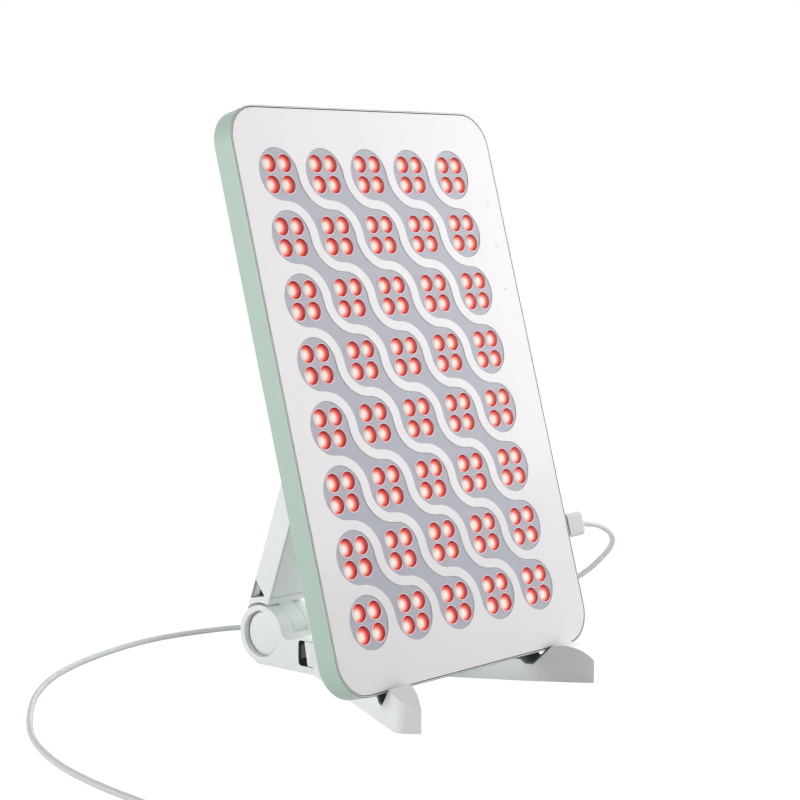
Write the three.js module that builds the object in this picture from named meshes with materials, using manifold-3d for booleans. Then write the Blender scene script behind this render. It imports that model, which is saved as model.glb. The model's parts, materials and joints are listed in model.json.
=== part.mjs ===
// Red light therapy lamp: a thin panel of domed lenses that stands in the notches of a folding
// V-shaped stand and leans back on a hinged arm, with its low-voltage lead and wall adapter.
// Millimetres, +Z up, the lamp faces -Y. The origin is on the floor, midway along the stand.
import * as THREE from 'three';
import { mergeVertices } from 'three/addons/utils/BufferGeometryUtils.js';
import Module from 'manifold-3d';

const wasm = await Module();
wasm.setup();

// Clearances shared by every piece
const FIT = 0.3;
const OVERRUN = 2;
const SOLE_HEIGHT = 0.4;

// Facets: steps in a quarter of a round stretch
const LENS_STEPS = 3;
const CORNER_STEPS = 5;
const SMALL_STEPS = 3;
const ROUND_SIDES = 40;
const SMALL_SIDES = 16;
const DOME_SIDES = 8;

// Panel
const PANEL_WIDTH = 203.25;
const PANEL_HEIGHT = 303;
const PANEL_DEPTH = 13.2;
const PANEL_CORNER = 19.5;
const PANEL_LEAN = THREE.MathUtils.degToRad(15.38);
const PANEL_SHIFT = -0.875;
const SHELL_WALL = 2.2;
const SHELL_LIP = 0.8;
const SHELL_BEVEL = 0.5;
const FACE_GAP = 0.35;
const FACE_THICKNESS = 2.2;
const GRID_COLUMNS = 5;
const GRID_ROWS = 8;
const GRID_MARGIN_LEFT = 29;
const GRID_MARGIN_RIGHT = 38.25;
const GRID_MARGIN_END = 36;
const RIB_WIDTH = 5.2;
const CHANNEL_RECESS = 1.4;
const STRIP_THICKNESS = 1.2;
const DOME_HEIGHT = 2.6;
const DOME_GAP = 1.7;
const DOME_MARGIN = 0.93;
const DOME_SHOULDER_SHARE = 0.74;
const DOME_SHOULDER_HEIGHT_SHARE = 0.66;

// Boards inside the panel
const EMITTER_SIZE = 17;
const EMITTER_HEIGHT = 0.7;
const BOARD_THICKNESS = 1.5;
const BOARD_MARGIN = 4;
const TOUCH_EDGE = 11.75;
const TOUCH_PLACES_Z = [98.7, 73.9, 49.5];
const TOUCH_RADIUS = 4;
const TOUCH_TAB_MARGIN = 9;
const SPREADER_THICKNESS = 1.5;
const DRIVER_WIDTH = 46;
const DRIVER_HEIGHT = 74;
const DRIVER_THICKNESS = 1.4;
const DRIVER_PART_HEIGHT = 1.7;
const DRIVER_CHOKE = 13;
const DRIVER_CHIP = 7;
const BOSS_RADIUS = 3.5;
const BOSS_SIDE = 22.5;
const BOSS_EDGE = 9.5;
const SCREW_RADIUS = 1.5;
const SCREW_HEAD_RADIUS = 3.1;
const SCREW_HEAD_HEIGHT = 1;
const SCREW_LENGTH = 7;
const SCREW_SLOT_WIDTH = 0.9;
const SCREW_SLOT_DEPTH = 0.5;
const VENT_LENGTH = 26;
const VENT_WIDTH = 2.8;
const VENT_PITCH = 7;
const VENT_COUNT = 6;
const VENT_SIDE = 44.5;
const VENT_TOP = 55.5;

// Socket and plug in the right side of the panel
const PLUG_RISE = 64.2;
const PLUG_RADIUS = 7.2;
const PLUG_LENGTH = 14.5;
const PLUG_ROUND = 2;
const PLUG_COLLAR = 1;
const TIP_RADIUS = 2.5;
const TIP_LENGTH = 8.5;
const SOCKET_RADIUS = 3.4;
const SOCKET_BODY_WIDTH = 12;
const SOCKET_BODY_DEPTH = 7.6;
const SOCKET_BODY_LENGTH = 13;

// Where the panel's lower rear edge rests, and the centre that it rocks about in the notches
const EDGE_HEIGHT = 13.72;
const EDGE_SETBACK = 131.9;
const ROCK_DEPTH = 8.83;
const ROCK_HEIGHT = 7.28;

// Hinge barrel and base block
const BARREL_RADIUS = 16.4;
const HINGE_HEIGHT = 17.7;
const BLOCK_WIDTH = 31;
const KNUCKLE_WIDTH = 8.8;
const KNUCKLE_ROOM = 0.6;
const WASHER_THICKNESS = 0.6;
const WASHER_RADIUS = 11;
const AXLE_RADIUS = 2.5;
const CAP_RADIUS = 12.7;
const CAP_GAP = 0.5;
const CAP_THICKNESS = 2.8;
const CAP_RISE = 1.8;
const CAP_SINK = 2;
const PIN_SETBACK = 42;
const PIN_X = 8;
const PIN_RADIUS = 2.3;
const PIN_SKIN = 0.7;
const PLATE_RADIUS = 7.4;
const BLOCK_FRONT_HEIGHT = 20.5;
const BLOCK_WAIST_HEIGHT = 17.5;
const CLEVIS_FLOOR = 4.3;
const CLEVIS_ROOF = 18.6;
const CLEVIS_BACK = 12.6;
const CLEVIS_FILLET = 2;
const BLOCK_WALL = 2.2;
const BLOCK_FILLET = 5;
const BLOCK_SLOPE_SETBACK = 32;
const BLOCK_TAIL = 2.5;
const BLOCK_TAIL_RISE = 1.7;
const BLOCK_TAIL_RUN = 3;

// Legs
const LEG_SPLAY = THREE.MathUtils.degToRad(28.6);
const LEG_HALF_WIDTH = 7.3;
const LEG_END_SLANT = 5.1;
const LEG_TIP_INSET = 2.9;
const LEG_TAPER_LENGTH = 32.6;
const LEG_TIP_ROUND = 5.5;
const LEG_ROOT_HEIGHT = 20.5;
const LEG_ROOT_CLEAR = 7.8;
const LEG_ROOT_SHOULDER = 12;
const LEG_ROOT_END_LOW = 5.8;
const LEG_ROOT_END_HIGH = 8.2;
const LEG_FLAT_LENGTH = 23.8;
const NOSE_TIP_HEIGHT = 12.9;
const NOSE_TOP_HEIGHT = 20.6;
const NOSE_LENGTH = 31.4;
const NOSE_TOP_LENGTH = 19;
const NOSE_CURVE_LENGTH = 7;
const NOTCH_FRONT_ANGLE = THREE.MathUtils.degToRad(50.7);
const NOTCH_REAR_ANGLE = THREE.MathUtils.degToRad(50);
const NOTCH_DEPTH = 2.5;
const NOTCH_LAND = 2.6;
const NOTCH_PAD_THICKNESS = 0.8;
const NOTCH_PAD_TAIL = 3;
const NOTCH_PAD_INSET = 0.7;
const NOTCH_WEDGE_HEIGHT = 30;

// Rubber feet
const FOOT_RADIUS = 4;
const FOOT_HEIGHT = 1.5;
const REAR_FOOT_X = 10.5;
const REAR_FOOT_SETBACK = 4;
const LEG_FOOT_INSET = 14.8;

// Arm
const ARM_LEAN = THREE.MathUtils.degToRad(20);
const ARM_WIDTH = 30;
const ARM_FRONT = 0.8;
const ARM_BACK = 16.2;
const ARM_FRONT_ROUND = 0.9;
const ARM_BACK_ROUND = 2.6;
const ARM_BARREL_ROOM = 1.4;
const ARM_NECK_HEIGHT = 24;
const ARM_CAVITY_START = 31;
const ARM_CAVITY_WALL = 3.2;
const ARM_REAR_WALL = 2;
const ARM_CAVITY_END = 16;
const COVER_START = 21.6;
const COVER_THICKNESS = 1.8;
const COVER_SIDE = 1;
const COVER_END = 15;
const POCKET_DEPTH = 7;
const POCKET_REAR = 14.8;
const POCKET_TIP = 4.8;
const POCKET_LOW = 15.4;
const POCKET_MID = 21.3;
const POCKET_HIGH = 27.5;
const HEAD_GAP = 0.5;
const HEAD_RISE = 8.6;
const HEAD_PAD_RADIUS = 3.4;
const HEAD_PAD_PROUD = 2.2;
const HEAD_PAD_LENGTH = 25;

// Lead: diameter, coil, tie and adapter
const CORD_DIAMETER = 3.4;
const CORD_SIDES = 8;
const CORD_STEPS = 80;
const COIL_CENTRE_X = -275;
const COIL_CENTRE_Y = -150;
const COIL_OUTER = 25;
const COIL_SPACING = 3.95;
const COIL_TURNS = 6.25;
const COIL_STEPS = 24;
const COIL_SIDES = 6;
const TIE_THICKNESS = 1;
const TIE_WIDTH = 8;
const TIE_ROOM = 0.35;
const TIE_INNER_DROP = 0.9;
const TIE_CORNER = 1.6;
const TAIL_LENGTH = 15;
const RELIEF_LENGTH = 12;
const RELIEF_THIN = 2.4;
const RELIEF_THICK = 3.9;
const ADAPTER_LENGTH = 46;
const ADAPTER_WIDTH = 36;
const ADAPTER_HEIGHT = 24;
const ADAPTER_ROUND = 4;
const BLADE_LENGTH = 15;
const BLADE_WIDTH = 6.3;
const BLADE_THICKNESS = 1.5;
const BLADE_SPREAD = 12.7;

// Materials
const mint = new THREE.MeshStandardMaterial({ color: 0xb8cdbe, roughness: 0.42, metalness: 0 });
const pearl = new THREE.MeshStandardMaterial({ color: 0xebe8e9, roughness: 0.38, metalness: 0 });
const white = new THREE.MeshStandardMaterial({ color: 0xeef0f0, roughness: 0.45, metalness: 0 });
const lens = new THREE.MeshStandardMaterial({ color: 0xd9483f, roughness: 0.18, metalness: 0 });
const circuit = new THREE.MeshStandardMaterial({ color: 0xe6e9ea, roughness: 0.5, metalness: 0 });
const aluminium = new THREE.MeshStandardMaterial({ color: 0xbfc3c7, roughness: 0.35, metalness: 1 });
const steel = new THREE.MeshStandardMaterial({ color: 0x9a9ea2, roughness: 0.3, metalness: 1 });
const brass = new THREE.MeshStandardMaterial({ color: 0xc8b273, roughness: 0.3, metalness: 1 });
const black = new THREE.MeshStandardMaterial({ color: 0x1d1e20, roughness: 0.5, metalness: 0 });
const rubber = new THREE.MeshStandardMaterial({ color: 0x6d7572, roughness: 0.8, metalness: 0 });
const cable = new THREE.MeshStandardMaterial({ color: 0xdfe1e2, roughness: 0.55, metalness: 0 });

const lamp = new THREE.Group();

// A closed geometry as a solid, with triangles that have lost their area left out
function solid(geometry) {
  const bare = geometry.clone();
  bare.deleteAttribute('normal');
  bare.deleteAttribute('uv');
  const merged = mergeVertices(bare, 1e-5);
  const index = merged.index.array;
  const kept = [];
  for (let i = 0; i < index.length; i += 3) {
    const [a, b, c] = [index[i], index[i + 1], index[i + 2]];
    if (a !== b && b !== c && c !== a) kept.push(a, b, c);
  }
  const vertProperties = new Float32Array(merged.attributes.position.array);
  return new wasm.Manifold(new wasm.Mesh({ numProp: 3, vertProperties, triVerts: new Uint32Array(kept) }));
}

// A solid back as a geometry
function geometryOf(body) {
  const { vertProperties, triVerts } = body.getMesh();
  const geometry = new THREE.BufferGeometry();
  geometry.setAttribute('position', new THREE.BufferAttribute(new Float32Array(vertProperties), 3));
  geometry.setIndex(new THREE.BufferAttribute(new Uint32Array(triVerts), 1));
  geometry.computeVertexNormals();
  return geometry;
}

function piece(name, body, material, parent = lamp) {
  const mesh = new THREE.Mesh(geometryOf(body), material);
  mesh.name = name;
  parent.add(mesh);
  return mesh;
}

function joined(bodies) {
  return bodies.reduce((all, body) => all.add(body));
}

function cutBy(body, cutters) {
  return cutters.reduce((rest, cutter) => rest.subtract(cutter), body);
}

// Points of an arc from one angle to another, the last one left to the next stretch
function arc(x, y, radiusX, radiusY, from, to, steps) {
  return Array.from({ length: steps }, (_, i) => {
    const angle = from + ((to - from) * i) / steps;
    return new THREE.Vector2(x + radiusX * Math.cos(angle), y + radiusY * Math.sin(angle));
  });
}

const QUARTER = Math.PI / 2;

// A rectangle with round corners, centred on (x, y)
function roundRect(width, height, radius, steps, x = 0, y = 0) {
  const reachX = width / 2 - radius;
  const reachY = height / 2 - radius;
  const corners = [[1, -1, -1], [1, 1, 0], [-1, 1, 1], [-1, -1, 2]];
  return new THREE.Shape(corners.flatMap(([sideX, sideY, turn]) => [
    ...arc(x + sideX * reachX, y + sideY * reachY, radius, radius, turn * QUARTER, (turn + 1) * QUARTER, steps),
    new THREE.Vector2(
      x + sideX * reachX + radius * Math.cos((turn + 1) * QUARTER),
      y + sideY * reachY + radius * Math.sin((turn + 1) * QUARTER),
    ),
  ]));
}

function circle(radius, sides, x = 0, y = 0) {
  return new THREE.Shape(arc(x, y, radius, radius, 0, 4 * QUARTER, sides));
}

function extruded(shape, depth, bevel = 0) {
  return new THREE.ExtrudeGeometry(shape, {
    depth: depth - 2 * bevel,
    bevelEnabled: bevel > 0,
    bevelThickness: bevel,
    bevelSize: bevel,
    bevelOffset: -bevel,
    bevelSegments: 1,
    steps: 1,
  }).translate(0, 0, bevel);
}

// A plate drawn from the front (x right, z up) that fills from yFront to yBack
function plate(shape, yFront, yBack, bevel = 0) {
  return solid(extruded(shape, yBack - yFront, bevel).rotateX(QUARTER).translate(0, yBack, 0));
}

// A slab drawn from above that fills from zLow to zHigh
function slab(shape, zLow, zHigh) {
  return solid(extruded(shape, zHigh - zLow).translate(0, 0, zLow));
}

// A block drawn from the side (first y, then z) that fills from xLow to xHigh
const sideways = new THREE.Matrix4().makeBasis(
  new THREE.Vector3(0, 1, 0),
  new THREE.Vector3(0, 0, 1),
  new THREE.Vector3(1, 0, 0),
);
function across(shape, xLow, xHigh) {
  return solid(extruded(shape, xHigh - xLow).applyMatrix4(sideways).translate(xLow, 0, 0));
}

function rod(radius, xLow, xHigh, y, z, sides = SMALL_SIDES) {
  return across(circle(radius, sides, y, z), xLow, xHigh);
}

function post(radius, zLow, zHigh, x, y, sides = SMALL_SIDES) {
  return slab(circle(radius, sides, x, y), zLow, zHigh);
}

function box(xLow, xHigh, yLow, yHigh, zLow, zHigh) {
  const geometry = new THREE.BoxGeometry(xHigh - xLow, yHigh - yLow, zHigh - zLow);
  return solid(geometry.translate((xLow + xHigh) / 2, (yLow + yHigh) / 2, (zLow + zHigh) / 2));
}

// A turned piece along X from a profile of (distance along the axis, radius)
function turned(profile, sides) {
  const points = profile.map(([along, radius]) => new THREE.Vector2(radius, along));
  return solid(new THREE.LatheGeometry(points, sides).rotateZ(-QUARTER));
}

// Places that follow from the driving sizes
const cosLean = Math.cos(PANEL_LEAN);
const sinLean = Math.sin(PANEL_LEAN);
const cosSplay = Math.cos(LEG_SPLAY);
const sinSplay = Math.sin(LEG_SPLAY);
const tipAcross = -LEG_HALF_WIDTH + LEG_TIP_INSET;
const legWidth = 2 * LEG_HALF_WIDTH;

// The notch that takes the panel's lower edge, seen from the side with y counted from the hinge:
// the seat under the rear edge, the groove's rear flank and floor, and the front flank, which
// stops the front edge. The legs' length follows from it.
const rearEdge = new THREE.Vector2(-EDGE_SETBACK, EDGE_HEIGHT);
const frontEdge = new THREE.Vector2(-EDGE_SETBACK - PANEL_DEPTH * cosLean, EDGE_HEIGHT + PANEL_DEPTH * sinLean);
function seatPath(topHeight) {
  const seatHeight = EDGE_HEIGHT - FIT;
  const floorHeight = seatHeight - NOTCH_DEPTH;
  const landEnd = rearEdge.x - NOTCH_LAND;
  const frontRun = (height) => frontEdge.x - FIT / Math.sin(NOTCH_FRONT_ANGLE)
    + (frontEdge.y - height) / Math.tan(NOTCH_FRONT_ANGLE);
  return [
    new THREE.Vector2(rearEdge.x + NOTCH_PAD_TAIL, seatHeight),
    new THREE.Vector2(landEnd, seatHeight),
    new THREE.Vector2(landEnd - NOTCH_DEPTH / Math.tan(NOTCH_REAR_ANGLE), floorHeight),
    new THREE.Vector2(frontRun(floorHeight), floorHeight),
    new THREE.Vector2(frontRun(topHeight), topHeight),
  ];
}

// The same path moved away from the panel by one distance all along
function offsetPath(points, distance) {
  const normals = points.slice(1).map((point, i) => {
    const along = point.clone().sub(points[i]).normalize();
    return new THREE.Vector2(-along.y, along.x);
  });
  return points.map((point, i) => {
    const before = normals[Math.max(i - 1, 0)];
    const after = normals[Math.min(i, normals.length - 1)];
    const mitre = before.clone().add(after).multiplyScalar(distance / (1 + before.dot(after)));
    return mitre.add(point);
  });
}
const notchPath = offsetPath(seatPath(NOTCH_WEDGE_HEIGHT), NOTCH_PAD_THICKNESS + FIT);
const [, notchRear, , notchFloor] = notchPath;
const legFlat = notchRear.y;
const notchFront = notchFloor.x - (legFlat - notchFloor.y) / Math.tan(NOTCH_FRONT_ANGLE);
const valleyAlong = (-PIN_SETBACK - (notchRear.x + notchFront) / 2) / cosSplay;
const legLength = valleyAlong + NOSE_LENGTH;
const outerLength = legLength - LEG_END_SLANT;
const taperStart = legLength - LEG_TAPER_LENGTH;
const flatStart = valleyAlong - LEG_FLAT_LENGTH;
const footAlong = legLength - LEG_FOOT_INSET;
const legReach = legLength * cosSplay - tipAcross * sinSplay;
const standLength = legReach + PIN_SETBACK + BARREL_RADIUS;
const hingeY = standLength / 2 - BARREL_RADIUS;
const pinY = hingeY - PIN_SETBACK;
const edgeY = hingeY - EDGE_SETBACK;
const rockY = edgeY + ROCK_HEIGHT * sinLean - ROCK_DEPTH * cosLean;
const rockZ = EDGE_HEIGHT + ROCK_HEIGHT * cosLean + ROCK_DEPTH * sinLean;

// PANEL: its own frame has the origin at the middle of the back, x right, z up the slope
const panelPivot = new THREE.Group();
panelPivot.position.set(PANEL_SHIFT, rockY, rockZ);
panelPivot.rotation.x = -PANEL_LEAN;
lamp.add(panelPivot);
const panel = new THREE.Group();
panel.position.set(0, ROCK_DEPTH, PANEL_HEIGHT / 2 - ROCK_HEIGHT);
panelPivot.add(panel);

const faceFront = -PANEL_DEPTH;
const faceBack = faceFront + FACE_THICKNESS;
const stripFront = faceFront + CHANNEL_RECESS;
const stripBack = stripFront + STRIP_THICKNESS;
const emitterFront = stripBack + FIT;
const boardFront = emitterFront + EMITTER_HEIGHT;
const boardBack = boardFront + BOARD_THICKNESS;
const spreaderFront = boardBack + FIT;
const spreaderBack = spreaderFront + SPREADER_THICKNESS;
const driverFront = spreaderBack + FIT;
const driverBack = driverFront + DRIVER_THICKNESS;
const plugY = -PANEL_DEPTH / 2;
const plugZ = PLUG_RISE - PANEL_HEIGHT / 2;
const cavityWidth = PANEL_WIDTH - 2 * SHELL_WALL;
const cavityHeight = PANEL_HEIGHT - 2 * SHELL_WALL;
const lipWidth = PANEL_WIDTH - 2 * SHELL_LIP;
const lipHeight = PANEL_HEIGHT - 2 * SHELL_LIP;
const faceWidth = lipWidth - 2 * FACE_GAP;
const faceHeight = lipHeight - 2 * FACE_GAP;
const bossX = PANEL_WIDTH / 2 - BOSS_SIDE;
const bossZ = PANEL_HEIGHT / 2 - BOSS_EDGE;
const bossPlaces = [[-bossX, -bossZ], [bossX, -bossZ], [-bossX, bossZ], [bossX, bossZ]];
const pitchX = (PANEL_WIDTH - GRID_MARGIN_LEFT - GRID_MARGIN_RIGHT) / (GRID_COLUMNS - 1);
const pitchZ = (PANEL_HEIGHT - 2 * GRID_MARGIN_END) / (GRID_ROWS - 1);
const gridX = (column) => GRID_MARGIN_LEFT - PANEL_WIDTH / 2 + column * pitchX;
const gridZ = (row) => ((GRID_ROWS - 1) / 2 - row) * pitchZ;
const channelRadius = (Math.min(pitchX, pitchZ) - RIB_WIDTH) / 2;
const clusterReach = channelRadius - FIT - DOME_MARGIN;
const domeRadius = (clusterReach - DOME_GAP * Math.SQRT1_2) / (1 + Math.SQRT2);
const domeSpacing = 2 * domeRadius + DOME_GAP;

// Runs of clusters that step down to the right, each lit through one channel of the face
function diagonalRuns() {
  const runs = [];
  for (let start = 1 - GRID_COLUMNS; start < GRID_ROWS; start += 1) {
    const run = [];
    for (let column = 0; column < GRID_COLUMNS; column += 1) {
      const row = column + start;
      if (row >= 0 && row < GRID_ROWS) run.push([column, row]);
    }
    runs.push(run);
  }
  return runs;
}

// The outline round a run: a circle at each cluster, drawn in between them by the round
// corners of the neighbouring ribs. inset makes the strip that fits inside the cut-out.
function channelOutline(run, inset) {
  const radius = channelRadius - inset;
  const neckX = pitchX - radius;
  const neckZ = pitchZ - radius;
  const last = run.length - 1;
  const points = [];
  const bulge = ([column, row], from, quarters) => points.push(
    ...arc(gridX(column), gridZ(row), radius, radius, from * QUARTER, (from + quarters) * QUARTER,
      LENS_STEPS * quarters),
  );
  const neck = (column, row, from) => points.push(
    ...arc(gridX(column), gridZ(row), neckX, neckZ, from * QUARTER, (from - 1) * QUARTER, LENS_STEPS),
  );
  if (last === 0) return circle(radius, 4 * LENS_STEPS, gridX(run[0][0]), gridZ(run[0][1]));
  bulge(run[0], 0, 3);
  for (let i = 1; i <= last; i += 1) {
    neck(run[i - 1][0], run[i][1], 1);
    bulge(run[i], 2, i === last ? 3 : 1);
  }
  for (let i = last - 1; i >= 0; i -= 1) {
    neck(run[i + 1][0], run[i][1], 3);
    if (i > 0) bulge(run[i], 0, 1);
  }
  return new THREE.Shape(points);
}

const runs = diagonalRuns();

// Rear shell: a mint tray with a thin lip round the face, vents, and the hole for the socket
function rearShell() {
  const outer = plate(roundRect(PANEL_WIDTH, PANEL_HEIGHT, PANEL_CORNER, CORNER_STEPS), faceFront, 0, SHELL_BEVEL);
  const cavity = plate(
    roundRect(cavityWidth, cavityHeight, PANEL_CORNER - SHELL_WALL, CORNER_STEPS),
    faceFront - OVERRUN,
    -SHELL_WALL,
  );
  const lipSeat = plate(
    roundRect(lipWidth, lipHeight, PANEL_CORNER - SHELL_LIP, CORNER_STEPS),
    faceFront - OVERRUN,
    faceBack + FIT,
  );
  const socketHole = rod(SOCKET_RADIUS + FIT, 0, PANEL_WIDTH, plugY, plugZ);
  const ventX = PANEL_WIDTH / 2 - VENT_SIDE;
  const ventTop = PANEL_HEIGHT / 2 - VENT_TOP;
  const holes = bossPlaces.flatMap(([x, z]) => [
    plate(circle(SCREW_RADIUS + FIT, SMALL_SIDES, x, z), -SHELL_WALL - OVERRUN, OVERRUN),
    plate(circle(SCREW_HEAD_RADIUS + FIT, SMALL_SIDES, x, z), -SCREW_HEAD_HEIGHT - FIT, OVERRUN),
  ]);
  const vents = [-1, 1].flatMap((side) => Array.from({ length: VENT_COUNT }, (_, i) => plate(
    roundRect(VENT_LENGTH, VENT_WIDTH, VENT_WIDTH / 2, SMALL_STEPS, side * ventX, ventTop - i * VENT_PITCH),
    -SHELL_WALL - OVERRUN,
    OVERRUN,
  )));
  return cutBy(outer, [cavity, lipSeat, socketHole, ...holes, ...vents]);
}
piece('rear_shell', rearShell(), mint, panel);

// Face: a white plate with a channel cut for each run, and four bosses for the rear screws
function facePlate() {
  const outline = roundRect(faceWidth, faceHeight, PANEL_CORNER - SHELL_LIP - FACE_GAP, CORNER_STEPS);
  outline.holes = runs.map((run) => channelOutline(run, 0));
  const bosses = bossPlaces.map(([x, z]) => plate(
    circle(BOSS_RADIUS, SMALL_SIDES, x, z),
    faceBack - FIT,
    -SHELL_WALL - FIT,
  ));
  const bores = bossPlaces.map(([x, z]) => plate(
    circle(SCREW_RADIUS + FIT, SMALL_SIDES, x, z),
    -SCREW_LENGTH - SCREW_HEAD_HEIGHT,
    OVERRUN,
  ));
  return cutBy(joined([plate(outline, faceFront, faceBack), ...bosses]), bores);
}
piece('face_plate', facePlate(), pearl, panel);

// One moulded strip for each run: a floor the shape of its channel with four domes a cluster
function dome(x, z) {
  const profile = [
    new THREE.Vector2(0, -STRIP_THICKNESS / 2),
    new THREE.Vector2(domeRadius, -STRIP_THICKNESS / 2),
    new THREE.Vector2(domeRadius, 0),
    new THREE.Vector2(domeRadius * DOME_SHOULDER_SHARE, DOME_HEIGHT * DOME_SHOULDER_HEIGHT_SHARE),
    new THREE.Vector2(0, DOME_HEIGHT),
  ];
  const turn = new THREE.LatheGeometry(profile, DOME_SIDES).rotateX(-2 * QUARTER);
  return solid(turn.translate(x, stripFront, z));
}

function lensStrip(run) {
  const floor = plate(channelOutline(run, FIT), stripFront, stripBack);
  const half = domeSpacing / 2;
  const domes = run.flatMap(([column, row]) => [[-1, -1], [1, -1], [-1, 1], [1, 1]].map(
    ([sideX, sideZ]) => dome(gridX(column) + sideX * half, gridZ(row) + sideZ * half),
  ));
  return joined([floor, ...domes]);
}
runs.forEach((run, i) => piece(`lens_strip_${String(i + 1).padStart(2, '0')}`, lensStrip(run), lens, panel));

// Emitter board with a raised emitter carrier behind each cluster and a tab for the touch keys
const boardLeft = gridX(0) - channelRadius - BOARD_MARGIN;
const boardRight = gridX(GRID_COLUMNS - 1) + channelRadius + BOARD_MARGIN;
const boardTop = gridZ(0) + channelRadius + BOARD_MARGIN;
const touchX = PANEL_WIDTH / 2 - TOUCH_EDGE;
const touchTop = TOUCH_PLACES_Z[0] + TOUCH_TAB_MARGIN;
const touchLow = TOUCH_PLACES_Z[2] - TOUCH_TAB_MARGIN;
function emitterBoard() {
  const emitters = runs.flat().map(([column, row]) => box(
    gridX(column) - EMITTER_SIZE / 2,
    gridX(column) + EMITTER_SIZE / 2,
    emitterFront,
    boardBack,
    gridZ(row) - EMITTER_SIZE / 2,
    gridZ(row) + EMITTER_SIZE / 2,
  ));
  return joined([
    box(boardLeft, boardRight, boardFront, boardBack, -boardTop, boardTop),
    box(0, touchX + TOUCH_RADIUS + FIT, boardFront, boardBack, touchLow, touchTop),
    ...emitters,
  ]);
}
piece('led_board', emitterBoard(), circuit, panel);

// Touch sensors: sprung discs between the board's tab and the back of the face
TOUCH_PLACES_Z.forEach((z, i) => piece(
  `touch_sensor_${i + 1}`,
  plate(circle(TOUCH_RADIUS, SMALL_SIDES, touchX, z), faceBack + FIT, boardFront - FIT),
  brass,
  panel,
));

piece(
  'heat_spreader',
  box(boardLeft, boardRight, spreaderFront, spreaderBack, -boardTop, boardTop),
  aluminium,
  panel,
);

// Driver board beside the socket, with its choke and two chips
function driverBoard() {
  const left = boardRight - DRIVER_WIDTH;
  const low = plugZ - DRIVER_HEIGHT / 2;
  const partBack = driverBack + DRIVER_PART_HEIGHT;
  const choke = plate(
    roundRect(DRIVER_CHOKE, DRIVER_CHOKE, DRIVER_CHOKE / 4, SMALL_STEPS, boardRight - DRIVER_CHOKE, plugZ),
    driverFront,
    partBack,
  );
  const chips = [1, 3].map((place) => {
    const z = low + (DRIVER_HEIGHT * place) / 4;
    return box(left + DRIVER_CHIP, left + 2 * DRIVER_CHIP, driverFront, partBack - FIT, z, z + DRIVER_CHIP);
  });
  return joined([
    box(left, boardRight, driverFront, driverBack, low, low + DRIVER_HEIGHT),
    choke,
    ...chips,
  ]);
}
piece('driver_board', driverBoard(), circuit, panel);

// Socket in the right side, with the bore that takes the plug's tip
function socket() {
  const wallInside = cavityWidth / 2 - FIT;
  const sideFace = PANEL_WIDTH / 2;
  const body = box(
    wallInside - SOCKET_BODY_LENGTH,
    wallInside,
    plugY - SOCKET_BODY_DEPTH / 2,
    plugY + SOCKET_BODY_DEPTH / 2,
    plugZ - SOCKET_BODY_WIDTH / 2,
    plugZ + SOCKET_BODY_WIDTH / 2,
  );
  const barrel = rod(SOCKET_RADIUS, wallInside - FIT, sideFace, plugY, plugZ);
  const bore = rod(TIP_RADIUS + FIT, sideFace - TIP_LENGTH - FIT, sideFace + OVERRUN, plugY, plugZ);
  return body.add(barrel).subtract(bore);
}
piece('dc_socket', socket(), black, panel);

bossPlaces.forEach(([x, z], i) => {
  const head = plate(circle(SCREW_HEAD_RADIUS, SMALL_SIDES, x, z), -SCREW_HEAD_HEIGHT, 0);
  const shank = plate(circle(SCREW_RADIUS, SMALL_SIDES, x, z), -SCREW_LENGTH, -SCREW_HEAD_HEIGHT / 2);
  const slot = box(
    x - SCREW_HEAD_RADIUS,
    x + SCREW_HEAD_RADIUS,
    -SCREW_SLOT_DEPTH,
    OVERRUN,
    z - SCREW_SLOT_WIDTH / 2,
    z + SCREW_SLOT_WIDTH / 2,
  );
  piece(`rear_screw_${i + 1}`, head.add(shank).subtract(slot), steel, panel);
});

// Plug: a round moulded housing outside the panel and its metal tip in the socket
const plugStart = PANEL_WIDTH / 2 + FIT;
const plugEnd = plugStart + PLUG_LENGTH;
const plugCollarEnd = plugEnd + PLUG_COLLAR;
function plugHousing() {
  const rounded = arc(plugEnd - PLUG_ROUND, PLUG_RADIUS - PLUG_ROUND, PLUG_ROUND, PLUG_ROUND, QUARTER, 0, SMALL_STEPS);
  return turned([
    [plugStart, 0],
    [plugStart, PLUG_RADIUS],
    ...rounded.map((point) => [point.x, point.y]),
    [plugEnd, CORD_DIAMETER * 0.8],
    [plugCollarEnd, CORD_DIAMETER * 0.7],
    [plugCollarEnd, 0],
  ], SMALL_SIDES * 2);
}
const seatedPlug = new THREE.Group();
seatedPlug.position.set(0, plugY, plugZ);
panel.add(seatedPlug);
piece('lead_plug', plugHousing(), cable, seatedPlug);
piece('lead_plug_tip', rod(TIP_RADIUS, plugStart - FIT - TIP_LENGTH, plugStart - FIT, 0, 0), brass, seatedPlug);

// STAND: the base block carries the hinge barrel behind and the clevis of the two legs in front
const blockHalf = BLOCK_WIDTH / 2;
const knuckleHalf = KNUCKLE_WIDTH / 2;
const washerInside = knuckleHalf + FIT;
const washerOutside = washerInside + WASHER_THICKNESS;
const bearingFace = washerOutside + FIT;
const knuckleRim = bearingFace - FIT;
const capFace = blockHalf - CAP_SINK;
const capBack = capFace - CAP_THICKNESS;
const recessFloor = capBack - FIT;

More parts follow.
